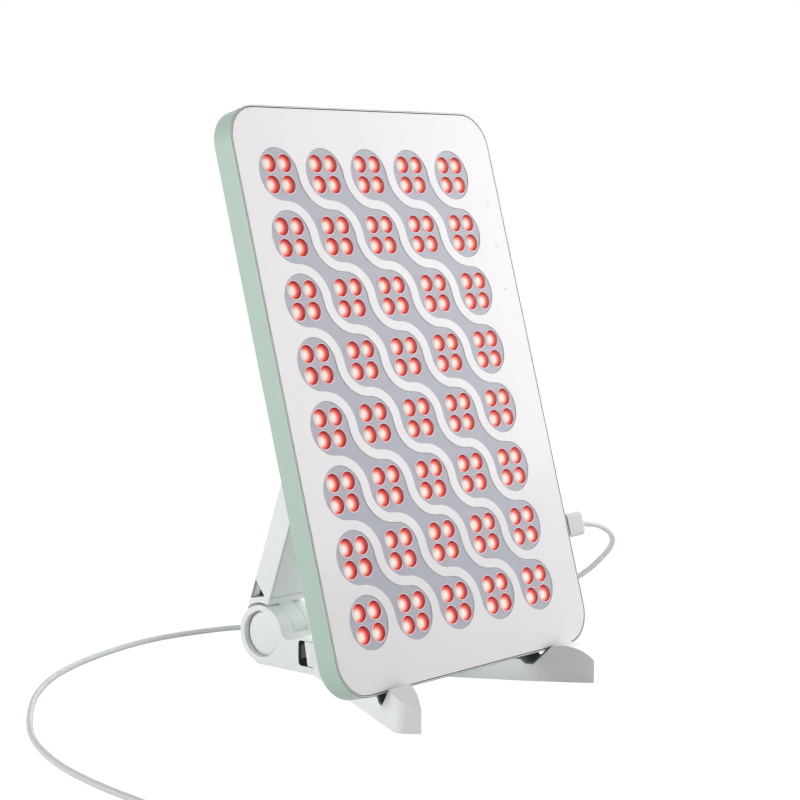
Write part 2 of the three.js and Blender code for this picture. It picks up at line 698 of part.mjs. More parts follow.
function baseBlock() {
  const front = pinY - PLATE_RADIUS;
  const slopeStart = hingeY - BLOCK_SLOPE_SETBACK;
  const tail = hingeY + BLOCK_TAIL;
  const filletRise = BLOCK_WAIST_HEIGHT + BLOCK_FILLET - HINGE_HEIGHT;
  const filletReach = Math.sqrt((BARREL_RADIUS + BLOCK_FILLET) ** 2 - filletRise ** 2);
  const waist = hingeY - filletReach;
  const fillet = arc(
    waist,
    BLOCK_WAIST_HEIGHT + BLOCK_FILLET,
    BLOCK_FILLET,
    BLOCK_FILLET,
    -Math.atan2(filletRise, filletReach),
    -QUARTER,
    CORNER_STEPS,
  );
  const crown = new THREE.QuadraticBezierCurve(
    new THREE.Vector2(waist, BLOCK_WAIST_HEIGHT),
    new THREE.Vector2((waist + slopeStart) / 2, BLOCK_WAIST_HEIGHT),
    new THREE.Vector2(slopeStart, BLOCK_FRONT_HEIGHT),
  );
  const profile = new THREE.Shape([
    new THREE.Vector2(front, SOLE_HEIGHT),
    new THREE.Vector2(tail, SOLE_HEIGHT),
    new THREE.Vector2(tail + BLOCK_TAIL_RUN, SOLE_HEIGHT + BLOCK_TAIL_RISE),
    new THREE.Vector2(hingeY, HINGE_HEIGHT),
    ...fillet,
    ...crown.getPoints(SMALL_STEPS),
    new THREE.Vector2(front, BLOCK_FRONT_HEIGHT),
  ]);
  const barrel = rod(BARREL_RADIUS, -blockHalf, blockHalf, hingeY, HINGE_HEIGHT, ROUND_SIDES);
  const clevis = roundRect(
    CLEVIS_BACK + PLATE_RADIUS + OVERRUN + CLEVIS_FILLET,
    CLEVIS_ROOF - CLEVIS_FLOOR,
    CLEVIS_FILLET,
    SMALL_STEPS,
    pinY + (CLEVIS_BACK - PLATE_RADIUS - OVERRUN - CLEVIS_FILLET) / 2,
    (CLEVIS_ROOF + CLEVIS_FLOOR) / 2,
  );
  const hollow = box(
    BLOCK_WALL - blockHalf,
    blockHalf - BLOCK_WALL,
    pinY + CLEVIS_BACK - OVERRUN,
    hingeY - BARREL_RADIUS - KNUCKLE_ROOM - BLOCK_WALL,
    CLEVIS_FLOOR,
    BLOCK_WAIST_HEIGHT - BLOCK_WALL,
  );
  const rearPlan = new THREE.Shape([
    new THREE.Vector2(-blockHalf, pinY),
    new THREE.Vector2(blockHalf, pinY),
    new THREE.Vector2(blockHalf, hingeY + 2 * BARREL_RADIUS),
    new THREE.Vector2(-blockHalf, hingeY + 2 * BARREL_RADIUS),
  ]);
  const planHeight = 2 * BARREL_RADIUS + HINGE_HEIGHT;
  const plan = joined([
    slab(rearPlan, 0, planHeight),
    ...[-1, 1].map((side) => post(PLATE_RADIUS, 0, planHeight, side * PIN_X, pinY, ROUND_SIDES)),
  ]);
  const pinHoles = [-1, 1].map((side) => post(PIN_RADIUS + FIT, 0, BLOCK_FRONT_HEIGHT - PIN_SKIN, side * PIN_X, pinY));
  const footHoles = [-1, 1].map((side) => post(
    FOOT_RADIUS + FIT, 0, FOOT_HEIGHT + FIT, side * REAR_FOOT_X, hingeY - REAR_FOOT_SETBACK,
  ));
  const capRecesses = [-1, 1].map((side) => rod(
    CAP_RADIUS + CAP_GAP,
    Math.min(side * recessFloor, side * (blockHalf + OVERRUN)),
    Math.max(side * recessFloor, side * (blockHalf + OVERRUN)),
    hingeY,
    HINGE_HEIGHT,
    ROUND_SIDES,
  ));
  return cutBy(across(profile, -blockHalf, blockHalf).add(barrel).intersect(plan), [
    across(clevis, -blockHalf - OVERRUN, blockHalf + OVERRUN),
    hollow,
    rod(BARREL_RADIUS + KNUCKLE_ROOM, -bearingFace, bearingFace, hingeY, HINGE_HEIGHT, ROUND_SIDES),
    rod(AXLE_RADIUS + FIT, -blockHalf - OVERRUN, blockHalf + OVERRUN, hingeY, HINGE_HEIGHT),
    ...capRecesses,
    ...pinHoles,
    ...footHoles,
  ]);
}
piece('base_block', baseBlock(), white);

// Hinge: axle, friction washers and the domed caps in the barrel's ends
piece('hinge_axle', rod(AXLE_RADIUS, -recessFloor, recessFloor, hingeY, HINGE_HEIGHT), steel);
const hingeSides = [['left', -1], ['right', 1]];
hingeSides.forEach(([name, side]) => {
  const bore = rod(AXLE_RADIUS + FIT, -blockHalf, blockHalf, hingeY, HINGE_HEIGHT);
  const disc = rod(
    WASHER_RADIUS,
    side > 0 ? washerInside : -washerOutside,
    side > 0 ? washerOutside : -washerInside,
    hingeY,
    HINGE_HEIGHT,
    SMALL_SIDES * 2,
  );
  piece(`friction_washer_${name}`, disc.subtract(bore), steel);
  const cap = turned([
    [capBack, 0],
    [capBack, CAP_RADIUS],
    [capFace - CAP_RISE, CAP_RADIUS],
    [capFace - CAP_RISE / 4, CAP_RADIUS * 0.86],
    [capFace, CAP_RADIUS * 0.5],
    [capFace, 0],
  ], ROUND_SIDES);
  const placed = new THREE.Group();
  placed.position.set(0, hingeY, HINGE_HEIGHT);
  placed.rotation.z = side > 0 ? 0 : 2 * QUARTER;
  lamp.add(placed);
  piece(`hinge_cap_${name}`, cap, white, placed);
});

// Legs: the frame of a leg has its pin at the origin and runs along -y
function legPlan(side, inset = 0) {
  const half = LEG_HALF_WIDTH - inset;
  const outerEnd = new THREE.Vector2(side * half, -outerLength);
  const innerEnd = new THREE.Vector2(side * (tipAcross + inset), -legLength);
  const roundStart = outerEnd.clone().add(new THREE.Vector2(0, LEG_TIP_ROUND));
  const roundEnd = outerEnd.clone().lerp(innerEnd, LEG_TIP_ROUND / outerEnd.distanceTo(innerEnd));
  const corner = new THREE.QuadraticBezierCurve(roundStart, outerEnd, roundEnd);
  return new THREE.Shape([
    new THREE.Vector2(side * half, 0),
    ...corner.getPoints(CORNER_STEPS),
    innerEnd,
    new THREE.Vector2(-side * half, -taperStart),
    new THREE.Vector2(-side * half, 0),
  ]);
}

const noseTop = legLength - NOSE_TOP_LENGTH;
function legProfile() {
  const nose = new THREE.QuadraticBezierCurve(
    new THREE.Vector2(-legLength, NOSE_TIP_HEIGHT),
    new THREE.Vector2(-legLength + NOSE_CURVE_LENGTH, NOSE_TOP_HEIGHT),
    new THREE.Vector2(-noseTop, NOSE_TOP_HEIGHT),
  );
  return new THREE.Shape([
    new THREE.Vector2(LEG_HALF_WIDTH + OVERRUN, SOLE_HEIGHT),
    new THREE.Vector2(LEG_HALF_WIDTH + OVERRUN, LEG_ROOT_HEIGHT),
    new THREE.Vector2(-LEG_ROOT_SHOULDER, LEG_ROOT_HEIGHT),
    new THREE.Vector2(-flatStart, legFlat),
    new THREE.Vector2(-valleyAlong, legFlat),
    new THREE.Vector2(-valleyAlong, NOSE_TOP_HEIGHT),
    ...nose.getPoints(CORNER_STEPS).reverse(),
    new THREE.Vector2(-legLength, SOLE_HEIGHT),
  ]);
}

// A block drawn from the side in the lamp's own directions, seen from a leg's frame
function inLegFrame(body, side) {
  const degrees = THREE.MathUtils.radToDeg(LEG_SPLAY);
  return body.translate([-side * PIN_X, -pinY, 0]).rotate([0, 0, -side * degrees]);
}

// A block from side-view points whose y counts from the hinge
function seenFromSide(points, xLow, xHigh) {
  return across(new THREE.Shape(points), xLow, xHigh).translate([0, hingeY, 0]);
}

function leg(side) {
  const bar = slab(legPlan(side), 0, NOTCH_WEDGE_HEIGHT).add(
    post(LEG_HALF_WIDTH, 0, NOTCH_WEDGE_HEIGHT, 0, 0, ROUND_SIDES),
  );
  const shaped = bar.intersect(across(legProfile(), -legWidth, legWidth));
  const above = new THREE.Vector2(notchPath[0].x, NOTCH_WEDGE_HEIGHT);
  const notch = seenFromSide([...notchPath, above], -PANEL_WIDTH, PANEL_WIDTH);
  const knuckleTop = CLEVIS_ROOF - FIT;
  const knuckleFloor = CLEVIS_FLOOR + FIT;
  const rootEnd = across(
    new THREE.Shape([
      new THREE.Vector2(pinY, knuckleFloor),
      new THREE.Vector2(pinY + LEG_ROOT_END_LOW, knuckleFloor),
      new THREE.Vector2(pinY + LEG_ROOT_END_HIGH, knuckleTop),
      new THREE.Vector2(pinY, knuckleTop),
    ]),
    Math.min(side * PIN_X, side * (PIN_X + LEG_HALF_WIDTH)),
    Math.max(side * PIN_X, side * (PIN_X + LEG_HALF_WIDTH)),
  );
  return cutBy(shaped.add(inLegFrame(rootEnd, side)), [
    inLegFrame(notch, side),
    post(LEG_ROOT_CLEAR, knuckleTop, NOTCH_WEDGE_HEIGHT, 0, 0, ROUND_SIDES),
    post(LEG_ROOT_CLEAR, 0, knuckleFloor, 0, 0, ROUND_SIDES),
    post(PIN_RADIUS + FIT, 0, NOTCH_WEDGE_HEIGHT, 0, 0),
    post(FOOT_RADIUS + FIT, 0, FOOT_HEIGHT + FIT, 0, -footAlong),
  ]);
}

// Rubber lining of the notch, as wide as the leg, from under the rear edge to the nose
function notchPad(side) {
  const top = seatPath(NOSE_TOP_HEIGHT - NOTCH_PAD_THICKNESS);
  const lining = [...top, ...offsetPath(top, NOTCH_PAD_THICKNESS).reverse()];
  const strip = seenFromSide(lining, -PANEL_WIDTH, PANEL_WIDTH);
  return inLegFrame(strip, side).intersect(slab(legPlan(side, NOTCH_PAD_INSET), 0, NOTCH_WEDGE_HEIGHT));
}

hingeSides.forEach(([name, side]) => {
  const frame = new THREE.Group();
  frame.position.set(side * PIN_X, pinY, 0);
  frame.rotation.z = side * LEG_SPLAY;
  lamp.add(frame);
  piece(`leg_${name}`, leg(side), white, frame);
  piece(`notch_pad_${name}`, notchPad(side), rubber, frame);
  piece(`leg_foot_${name}`, post(FOOT_RADIUS, 0, FOOT_HEIGHT, 0, -footAlong), rubber, frame);
  piece(
    `leg_pin_${name}`,
    post(PIN_RADIUS, SOLE_HEIGHT, BLOCK_FRONT_HEIGHT - PIN_SKIN - FIT, side * PIN_X, pinY),
    steel,
  );
  piece(
    `rear_foot_${name}`,
    post(FOOT_RADIUS, 0, FOOT_HEIGHT, side * REAR_FOOT_X, hingeY - REAR_FOOT_SETBACK),
    rubber,
  );
});

// ARM: its own frame has the origin on the barrel's axis and z up the arm, forward is -y
const arm = new THREE.Group();
arm.position.set(0, hingeY, HINGE_HEIGHT);
arm.rotation.x = ARM_LEAN;
lamp.add(arm);

const meetAngle = PANEL_LEAN + ARM_LEAN;
const backDistance = EDGE_SETBACK * cosLean - (HINGE_HEIGHT - EDGE_HEIGHT) * sinLean;
const headDistance = backDistance - HEAD_GAP - HEAD_PAD_PROUD;
const headStart = (headDistance + ARM_FRONT * Math.cos(meetAngle)) / Math.sin(meetAngle);
const armTop = headStart + HEAD_RISE;
const headBack = ARM_FRONT + HEAD_RISE * Math.tan(meetAngle);
const headPad = new THREE.Vector2(
  (ARM_FRONT + headBack) / 2 + (HEAD_PAD_RADIUS - HEAD_PAD_PROUD) * Math.cos(meetAngle),
  headStart + HEAD_RISE / 2 - (HEAD_PAD_RADIUS - HEAD_PAD_PROUD) * Math.sin(meetAngle),
);
const armHalf = ARM_WIDTH / 2;
const coverTop = armTop - COVER_END;

function armSection() {
  const front = ARM_FRONT + ARM_FRONT_ROUND;
  const back = ARM_BACK - ARM_BACK_ROUND;
  return new THREE.Shape([
    ...arc(armHalf - ARM_FRONT_ROUND, front, ARM_FRONT_ROUND, ARM_FRONT_ROUND, -QUARTER, 0, SMALL_STEPS),
    new THREE.Vector2(armHalf, front),
    ...arc(armHalf - ARM_BACK_ROUND, back, ARM_BACK_ROUND, ARM_BACK_ROUND, 0, QUARTER, SMALL_STEPS),
    new THREE.Vector2(armHalf - ARM_BACK_ROUND, ARM_BACK),
    ...arc(ARM_BACK_ROUND - armHalf, back, ARM_BACK_ROUND, ARM_BACK_ROUND, QUARTER, 2 * QUARTER, SMALL_STEPS),
    new THREE.Vector2(-armHalf, back),
    ...arc(ARM_FRONT_ROUND - armHalf, front, ARM_FRONT_ROUND, ARM_FRONT_ROUND, 2 * QUARTER, 3 * QUARTER, SMALL_STEPS),
    new THREE.Vector2(ARM_FRONT_ROUND - armHalf, ARM_FRONT),
  ]);
}

function armShell() {
  const column = slab(armSection(), 0, armTop);
  const head = new THREE.Shape([
    new THREE.Vector2(ARM_FRONT - OVERRUN, headStart - OVERRUN / Math.tan(meetAngle)),
    new THREE.Vector2(headBack + OVERRUN, armTop + OVERRUN / Math.tan(meetAngle)),
    new THREE.Vector2(ARM_FRONT - OVERRUN, armTop + OVERRUN / Math.tan(meetAngle)),
  ]);
  const round = rod(BARREL_RADIUS + ARM_BARREL_ROOM, -armHalf - OVERRUN, armHalf + OVERRUN, 0, 0, ROUND_SIDES);
  const sides = cutBy(column, [round, across(head, -armHalf - OVERRUN, armHalf + OVERRUN)]);
  const neck = box(-knuckleRim, knuckleRim, ARM_FRONT, ARM_BACK - ARM_BACK_ROUND, 0, ARM_NECK_HEIGHT);
  const knuckle = rod(BARREL_RADIUS, -knuckleRim, knuckleRim, 0, 0, ROUND_SIDES);
  const pocket = new THREE.Shape([
    new THREE.Vector2(POCKET_REAR, POCKET_LOW),
    new THREE.Vector2(POCKET_REAR, POCKET_HIGH),
    new THREE.Vector2(POCKET_TIP, POCKET_MID),
  ]);
  return cutBy(joined([sides, neck, knuckle]), [
    rod(AXLE_RADIUS + FIT, -knuckleRim - OVERRUN, knuckleRim + OVERRUN, 0, 0),
    rod(WASHER_RADIUS + FIT, knuckleHalf, knuckleRim + OVERRUN, 0, 0, ROUND_SIDES),
    rod(WASHER_RADIUS + FIT, -knuckleRim - OVERRUN, -knuckleHalf, 0, 0, ROUND_SIDES),
    box(
      ARM_CAVITY_WALL - armHalf,
      armHalf - ARM_CAVITY_WALL,
      ARM_FRONT - OVERRUN,
      ARM_BACK - ARM_REAR_WALL,
      ARM_CAVITY_START,
      armTop - ARM_CAVITY_END,
    ),
    box(
      COVER_SIDE - armHalf,
      armHalf - COVER_SIDE,
      ARM_FRONT - OVERRUN,
      ARM_FRONT + COVER_THICKNESS + FIT,
      COVER_START,
      coverTop,
    ),
    rod(HEAD_PAD_RADIUS + FIT, -armHalf - OVERRUN, armHalf + OVERRUN, headPad.x, headPad.y, SMALL_SIDES * 2),
    across(pocket, armHalf - POCKET_DEPTH, armHalf + OVERRUN),
    across(pocket, -armHalf - OVERRUN, POCKET_DEPTH - armHalf),
  ]);
}
piece('arm_shell', armShell(), white, arm);
piece(
  'arm_cover',
  box(
    COVER_SIDE + FIT - armHalf,
    armHalf - COVER_SIDE - FIT,
    ARM_FRONT,
    ARM_FRONT + COVER_THICKNESS,
    COVER_START + FIT,
    coverTop - FIT,
  ),
  white,
  arm,
);
piece(
  'arm_head_pad',
  rod(HEAD_PAD_RADIUS, -HEAD_PAD_LENGTH / 2, HEAD_PAD_LENGTH / 2, headPad.x, headPad.y, SMALL_SIDES * 2),
  rubber,
  arm,
);

// LEAD: from the plug round behind the panel and across the floor to the coil
const cordRadius = CORD_DIAMETER / 2;
const layerLow = TIE_THICKNESS + TIE_ROOM + cordRadius;
const layerHigh = layerLow + COIL_SPACING;
lamp.updateMatrixWorld(true);
const exitPoint = seatedPlug.localToWorld(new THREE.Vector3(plugCollarEnd + FIT, 0, 0));
const coilEntry = new THREE.Vector3(COIL_CENTRE_X + COIL_OUTER, COIL_CENTRE_Y, layerLow);
const LEAD_ROUTE = [
  [125, -45.6, 76.5],
  [132.4, -45.5, 75.3],
  [140.2, -44.8, 73.5],
  [148.6, -43.8, 70.2],
  [156, -42, 66.1],
  [161.9, -38.9, 61.2],
  [164.8, -34.7, 55.9],
  [165, -30.8, 51.4],
  [164.2, -28.2, 48.6],
  [162, -26.2, 45.7],
  [159.4, -22.6, 41.9],
  [156.5, -19.2, 38.7],
  [147, -11.8, 32],
  [135, -3, 24.8],
  [121, 8, 16.2],
  [107, 27, 7],
  [95.5, 52, 2.3],
  [85, 84.8, 1.7],
  [68, 121.8, 1.7],
  [43.3, 151.8, 1.7],
  [14, 162.8, 1.7],
  [-20, 166.3, 1.7],
  [-63.8, 157.8, 1.7],
  [-104, 141.8, 1.7],
  [-140.3, 116.8, 1.7],
  [-177, 79.2, 1.7],
  [-207, 38.8, 1.7],
  [-227.6, -5.6, 1.7],
  [-237.6, -44.7, 1.7],
  [-242, -75.6, 1.7],
  [-246.4, -105.2, 2.1],
  [-249.2, -129.5, 2.8],
];

// A tube of the lead along a curve, its ends square to it
function tube(curve, steps, sides) {
  const section = circle(cordRadius, sides);
  return solid(new THREE.ExtrudeGeometry(section, { steps, bevelEnabled: false, extrudePath: curve }));
}

const straightIn = new THREE.Vector3(0, CORD_DIAMETER + FIT, 0);
const leadPoints = [
  exitPoint,
  exitPoint.clone().add(new THREE.Vector3(CORD_DIAMETER, 0, 0)),
  ...LEAD_ROUTE.map(([x, y, z]) => new THREE.Vector3(x, y, z)),
  coilEntry.clone().add(straightIn).add(straightIn),
  coilEntry.clone().add(straightIn),
];
const leadCurve = new THREE.CatmullRomCurve3(leadPoints, false, 'centripetal');
leadCurve.arcLengthDivisions = 800;
piece('cord_lead', tube(leadCurve, CORD_STEPS, CORD_SIDES), cable);

// COIL: one unbroken tube that spirals in on the lower layer and out again on the upper one
function coilPoint(turn) {
  const half = COIL_TURNS / 2;
  const radius = COIL_OUTER - COIL_SPACING * (half - Math.abs(turn - half));
  const climb = THREE.MathUtils.clamp(2 * (turn - half) + 0.5, 0, 1);
  const rise = (1 - Math.cos(climb * Math.PI)) / 2;
  const angle = -turn * 4 * QUARTER;
  return new THREE.Vector3(
    COIL_CENTRE_X + radius * Math.cos(angle),
    COIL_CENTRE_Y + radius * Math.sin(angle),
    layerLow + (layerHigh - layerLow) * rise,
  );
}

// Rings round the centre line, each square to it, joined by quads and closed at both ends
function woundTube(centres, sides) {
  const positions = [];
  const indices = [];
  const up = new THREE.Vector3(0, 0, 1);
  centres.forEach((centre, i) => {
    const before = centres[Math.max(i - 1, 0)];
    const after = centres[Math.min(i + 1, centres.length - 1)];
    const ahead = after.clone().sub(before).normalize();
    const beside = new THREE.Vector3().crossVectors(up, ahead).normalize();
    const over = new THREE.Vector3().crossVectors(ahead, beside);
    for (let k = 0; k < sides; k += 1) {
      const angle = ((k + 0.5) * 4 * QUARTER) / sides;
      const spoke = beside.clone().multiplyScalar(cordRadius * Math.cos(angle));
      positions.push(...centre.clone().add(spoke).addScaledVector(over, cordRadius * Math.sin(angle)).toArray());
    }
  });
  const rings = centres.length;
  for (let i = 0; i < rings - 1; i += 1) {
    for (let k = 0; k < sides; k += 1) {
      const a = i * sides + k;
      const b = i * sides + ((k + 1) % sides);
      indices.push(a, b, a + sides, b, b + sides, a + sides);
    }
  }
  for (let k = 1; k < sides - 1; k += 1) {
    indices.push(0, k + 1, k);
    indices.push((rings - 1) * sides, (rings - 1) * sides + k, (rings - 1) * sides + k + 1);
  }
  const geometry = new THREE.BufferGeometry();
  geometry.setAttribute('position', new THREE.Float32BufferAttribute(positions, 3));
  geometry.setIndex(indices);
  return solid(geometry);
}

const coilStepCount = Math.round(COIL_TURNS * COIL_STEPS);
const loopPoints = Array.from({ length: coilStepCount + 1 }, (_, i) => coilPoint((COIL_TURNS * i) / coilStepCount));
const coilExit = loopPoints[coilStepCount];
const exitHeading = new THREE.Vector3(-1, 0, 0);
const tailStart = coilExit.clone().addScaledVector(exitHeading, CORD_DIAMETER);
const coilPoints = [
  coilEntry.clone().add(new THREE.Vector3(0, CORD_DIAMETER, 0)),
  ...loopPoints,
  tailStart,
];
piece('cord_coil', woundTube(coilPoints, COIL_SIDES), cable);

// The least gap between stretches of the coil that aren't neighbours along it
function leastGap() {
  let least = Infinity;
  for (let i = 0; i < loopPoints.length; i += 1) {
    for (let k = i + COIL_STEPS / 2; k < loopPoints.length; k += 1) {
      least = Math.min(least, loopPoints[i].distanceTo(loopPoints[k]) - CORD_DIAMETER);
    }
  }
  return least;
}
console.log(`coil: least gap to itself ${leastGap().toFixed(2)} mm`);
const coilLength = loopPoints.slice(1).reduce((sum, point, i) => sum + point.distanceTo(loopPoints[i]), 0);
console.log(`lead ${leadCurve.getLength().toFixed(0)} mm, coil ${coilLength.toFixed(0)} mm`);

// Tie: a band round the coil's bundle on the side away from the lamp
function coilTie() {
  const innermost = COIL_OUTER - (COIL_SPACING * COIL_TURNS) / 2 - cordRadius;
  const inside = innermost - TIE_ROOM - TIE_INNER_DROP;
  const outside = COIL_OUTER + cordRadius + TIE_ROOM;
  const low = layerLow - cordRadius - TIE_ROOM;
  const high = layerHigh + cordRadius + TIE_ROOM;
  const ring = roundRect(
    outside - inside + 2 * TIE_THICKNESS,
    high - low + 2 * TIE_THICKNESS,
    TIE_CORNER + TIE_THICKNESS,
    SMALL_STEPS,
    COIL_CENTRE_X - (inside + outside) / 2,
    (low + high) / 2,
  );
  ring.holes = [roundRect(
    outside - inside,
    high - low,
    TIE_CORNER,
    SMALL_STEPS,
    COIL_CENTRE_X - (inside + outside) / 2,
    (low + high) / 2,
  )];
  return plate(ring, COIL_CENTRE_Y - TIE_WIDTH / 2, COIL_CENTRE_Y + TIE_WIDTH / 2);
}
piece('coil_tie', coilTie(), rubber);

// Tail from the coil to the adapter, its strain relief, body and blades
const tailEnd = tailStart.x - FIT - TAIL_LENGTH;
piece('cord_tail', rod(cordRadius, tailEnd, tailStart.x - FIT, tailStart.y, tailStart.z, CORD_SIDES), cable);
const adapter = new THREE.Group();
adapter.position.set(tailEnd - FIT, tailStart.y, 0);
adapter.rotation.z = 2 * QUARTER;
lamp.add(adapter);
const relief = turned([
  [0, 0],
  [0, RELIEF_THIN],
  [RELIEF_LENGTH, RELIEF_THICK],
  [RELIEF_LENGTH, 0],
], SMALL_SIDES).translate([0, 0, layerHigh]);
piece('adapter_relief', relief, cable, adapter);
const adapterStart = RELIEF_LENGTH + FIT;
const adapterEnd = adapterStart + ADAPTER_LENGTH;
const adapterOutline = roundRect(
  ADAPTER_LENGTH,
  ADAPTER_WIDTH,
  ADAPTER_ROUND,
  SMALL_STEPS,
  adapterStart + ADAPTER_LENGTH / 2,
);
piece('adapter_body', slab(adapterOutline, 0, ADAPTER_HEIGHT), white, adapter);
[['left', -1], ['right', 1]].forEach(([name, side]) => piece(
  `adapter_blade_${name}`,
  box(
    adapterEnd + FIT,
    adapterEnd + FIT + BLADE_LENGTH,
    (side * BLADE_SPREAD - BLADE_THICKNESS) / 2,
    (side * BLADE_SPREAD + BLADE_THICKNESS) / 2,
    (ADAPTER_HEIGHT - BLADE_WIDTH) / 2,
    (ADAPTER_HEIGHT + BLADE_WIDTH) / 2,
  ),
  brass,
  adapter,
));

export default lamp;
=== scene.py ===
# %% [markdown]
# A red light therapy lamp, dressed for its portrait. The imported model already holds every
# piece at its real size, and this script gives each visible one its finish. It begins with
# the frame, so that whatever is made later can be placed by the model's own measures.

# %% Load the frame
import json
import math

import bmesh
import bpy
from mathutils import Matrix, Vector

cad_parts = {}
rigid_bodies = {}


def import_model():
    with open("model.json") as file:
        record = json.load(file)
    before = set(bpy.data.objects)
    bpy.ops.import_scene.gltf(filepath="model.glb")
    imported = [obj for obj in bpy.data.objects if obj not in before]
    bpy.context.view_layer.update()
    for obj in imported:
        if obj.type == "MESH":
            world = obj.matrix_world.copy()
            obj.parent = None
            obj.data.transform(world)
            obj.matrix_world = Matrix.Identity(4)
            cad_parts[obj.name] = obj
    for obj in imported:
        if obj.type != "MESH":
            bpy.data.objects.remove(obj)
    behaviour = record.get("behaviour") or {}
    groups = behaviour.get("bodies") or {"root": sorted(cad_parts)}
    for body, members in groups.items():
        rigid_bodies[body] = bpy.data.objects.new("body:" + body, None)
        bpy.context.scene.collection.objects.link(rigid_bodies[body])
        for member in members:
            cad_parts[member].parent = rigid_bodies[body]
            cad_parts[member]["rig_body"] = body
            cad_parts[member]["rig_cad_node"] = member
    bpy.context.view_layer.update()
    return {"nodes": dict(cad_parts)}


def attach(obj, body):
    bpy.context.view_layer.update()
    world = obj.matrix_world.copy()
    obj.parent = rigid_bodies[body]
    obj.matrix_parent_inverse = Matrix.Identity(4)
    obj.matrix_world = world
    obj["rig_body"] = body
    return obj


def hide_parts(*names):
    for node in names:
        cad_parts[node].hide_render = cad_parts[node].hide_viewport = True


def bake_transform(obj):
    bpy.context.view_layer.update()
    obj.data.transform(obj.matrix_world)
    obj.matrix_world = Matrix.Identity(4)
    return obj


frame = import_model()
nodes = frame["nodes"]

# %% [markdown]
# Sizes are written in millimetres and turned into metres once, by one factor. The lamp's two
# slanted parts, the panel and the arm, are modelled upright in directions of their own, x to
# the right, z along the part, and then turned into place with one matrix each. Two lengths
# that differ by less than CLOSE, or by less than HAIR on a small piece, count as equal.

# %% Shared sizes and places
MM = 0.001
PANEL_WIDTH, PANEL_HEIGHT, PANEL_DEPTH = 203.25 * MM, 303 * MM, 13.2 * MM
PANEL_SHIFT = -0.875 * MM
PANEL_LEAN = math.radians(15.38)
ARM_LEAN = math.radians(20)
HINGE_Y, HINGE_Z = 75.7405 * MM, 17.7 * MM
EDGE_SETBACK, EDGE_HEIGHT = 131.9 * MM, 13.72 * MM
CLOSE, HAIR = 1e-5, 1e-6

up_slope = Vector((0, math.sin(PANEL_LEAN), math.cos(PANEL_LEAN)))
lower_edge = Vector((PANEL_SHIFT, HINGE_Y - EDGE_SETBACK, EDGE_HEIGHT))
panel_middle = lower_edge + up_slope * PANEL_HEIGHT / 2
PANEL = Matrix.Translation(panel_middle) @ Matrix.Rotation(-PANEL_LEAN, 4, "X")
ARM = Matrix.Translation((0, HINGE_Y, HINGE_Z)) @ Matrix.Rotation(ARM_LEAN, 4, "X")

# %% [markdown]
# The camera stands to the left of the lamp, a little above its middle, and looks slightly
# down. A long lens keeps the panel's edges nearly parallel, as in the product photograph.
# The place and the three directions were measured on the lamp's own grid of lenses.

# %% Camera
SENSOR_WIDTH, FOCAL_LENGTH = 36, 94.5
CAMERA_PLACE = Vector((-836.8, -751.58, 266.6)) * MM
NEAREST, FARTHEST = 0.02, 30

bpy.ops.object.camera_add()
camera = bpy.context.object
camera.name = "product_camera"
camera.data.sensor_width = SENSOR_WIDTH
camera.data.lens = FOCAL_LENGTH
view_right = Vector((0.66072, -0.75063, 0)).normalized()
view_up = Vector((0.07481, 0.06585, 0.99502)).normalized()
view_back = view_right.cross(view_up)
turn = Matrix((view_right, view_up, view_back)).transposed().to_4x4()
camera.matrix_world = Matrix.Translation(CAMERA_PLACE) @ turn
camera.data.clip_start, camera.data.clip_end = NEAREST, FARTHEST
bpy.context.scene.camera = camera
bpy.context.scene.view_settings.view_transform = "Standard"
print("camera looks along", [round(-v, 3) for v in view_back])

# %% [markdown]
# A few helpers stand for what the hand does in the window: pick one object, settle its place
# into its mesh, cut one with another, and round the edges that are sharper than an angle.

# %% Hands
def pick(*objects):
    """Selects these objects and nothing else; the first one is active."""
    bpy.ops.object.select_all(action="DESELECT")
    for each in objects:
        each.select_set(True)
    bpy.context.view_layer.objects.active = objects[0]


def settle(piece, matrix=None):
    """Turns a piece that was modelled upright into its place, and keeps the place in its mesh."""
    if matrix is not None:
        piece.matrix_world = matrix @ piece.matrix_world
    pick(piece)
    bpy.ops.object.transform_apply(location=True, rotation=True, scale=True)
    return piece


def cut(piece, cutter):
    """Takes the cutter's volume away from the piece and throws the cutter away."""
    pick(piece)
    hollow = piece.modifiers.new("cut", "BOOLEAN")
    hollow.operation, hollow.object, hollow.solver = "DIFFERENCE", cutter, "EXACT"
    bpy.ops.object.modifier_apply(modifier=hollow.name)
    bpy.data.objects.remove(cutter)
    return piece


def round_edges(piece, width, segments=2, sharper_than=35):
    """Rounds the edges whose faces turn by more than this many degrees."""
    pick(piece)
    edge = piece.modifiers.new("edge", "BEVEL")
    edge.width, edge.segments, edge.limit_method = width, segments, "ANGLE"
    edge.angle_limit = math.radians(sharper_than)
    edge.use_clamp_overlap = True
    bpy.ops.object.modifier_apply(modifier=edge.name)
    return piece


def shade(piece, angle=30):
    """Smooth over rounded edges, while every large plain face keeps its one direction."""
    pick(piece)
    bpy.ops.object.shade_smooth_by_angle(angle=math.radians(angle))
    level = piece.modifiers.new("level", "WEIGHTED_NORMAL")
    level.keep_sharp = True
    level.weight = 80
    bpy.ops.object.modifier_apply(modifier=level.name)
    return piece


def glue(name, pieces):
    """Joins objects into the first one and names it."""
    pick(*pieces)
    bpy.ops.object.join()
    pieces[0].name = name
    return pieces[0]


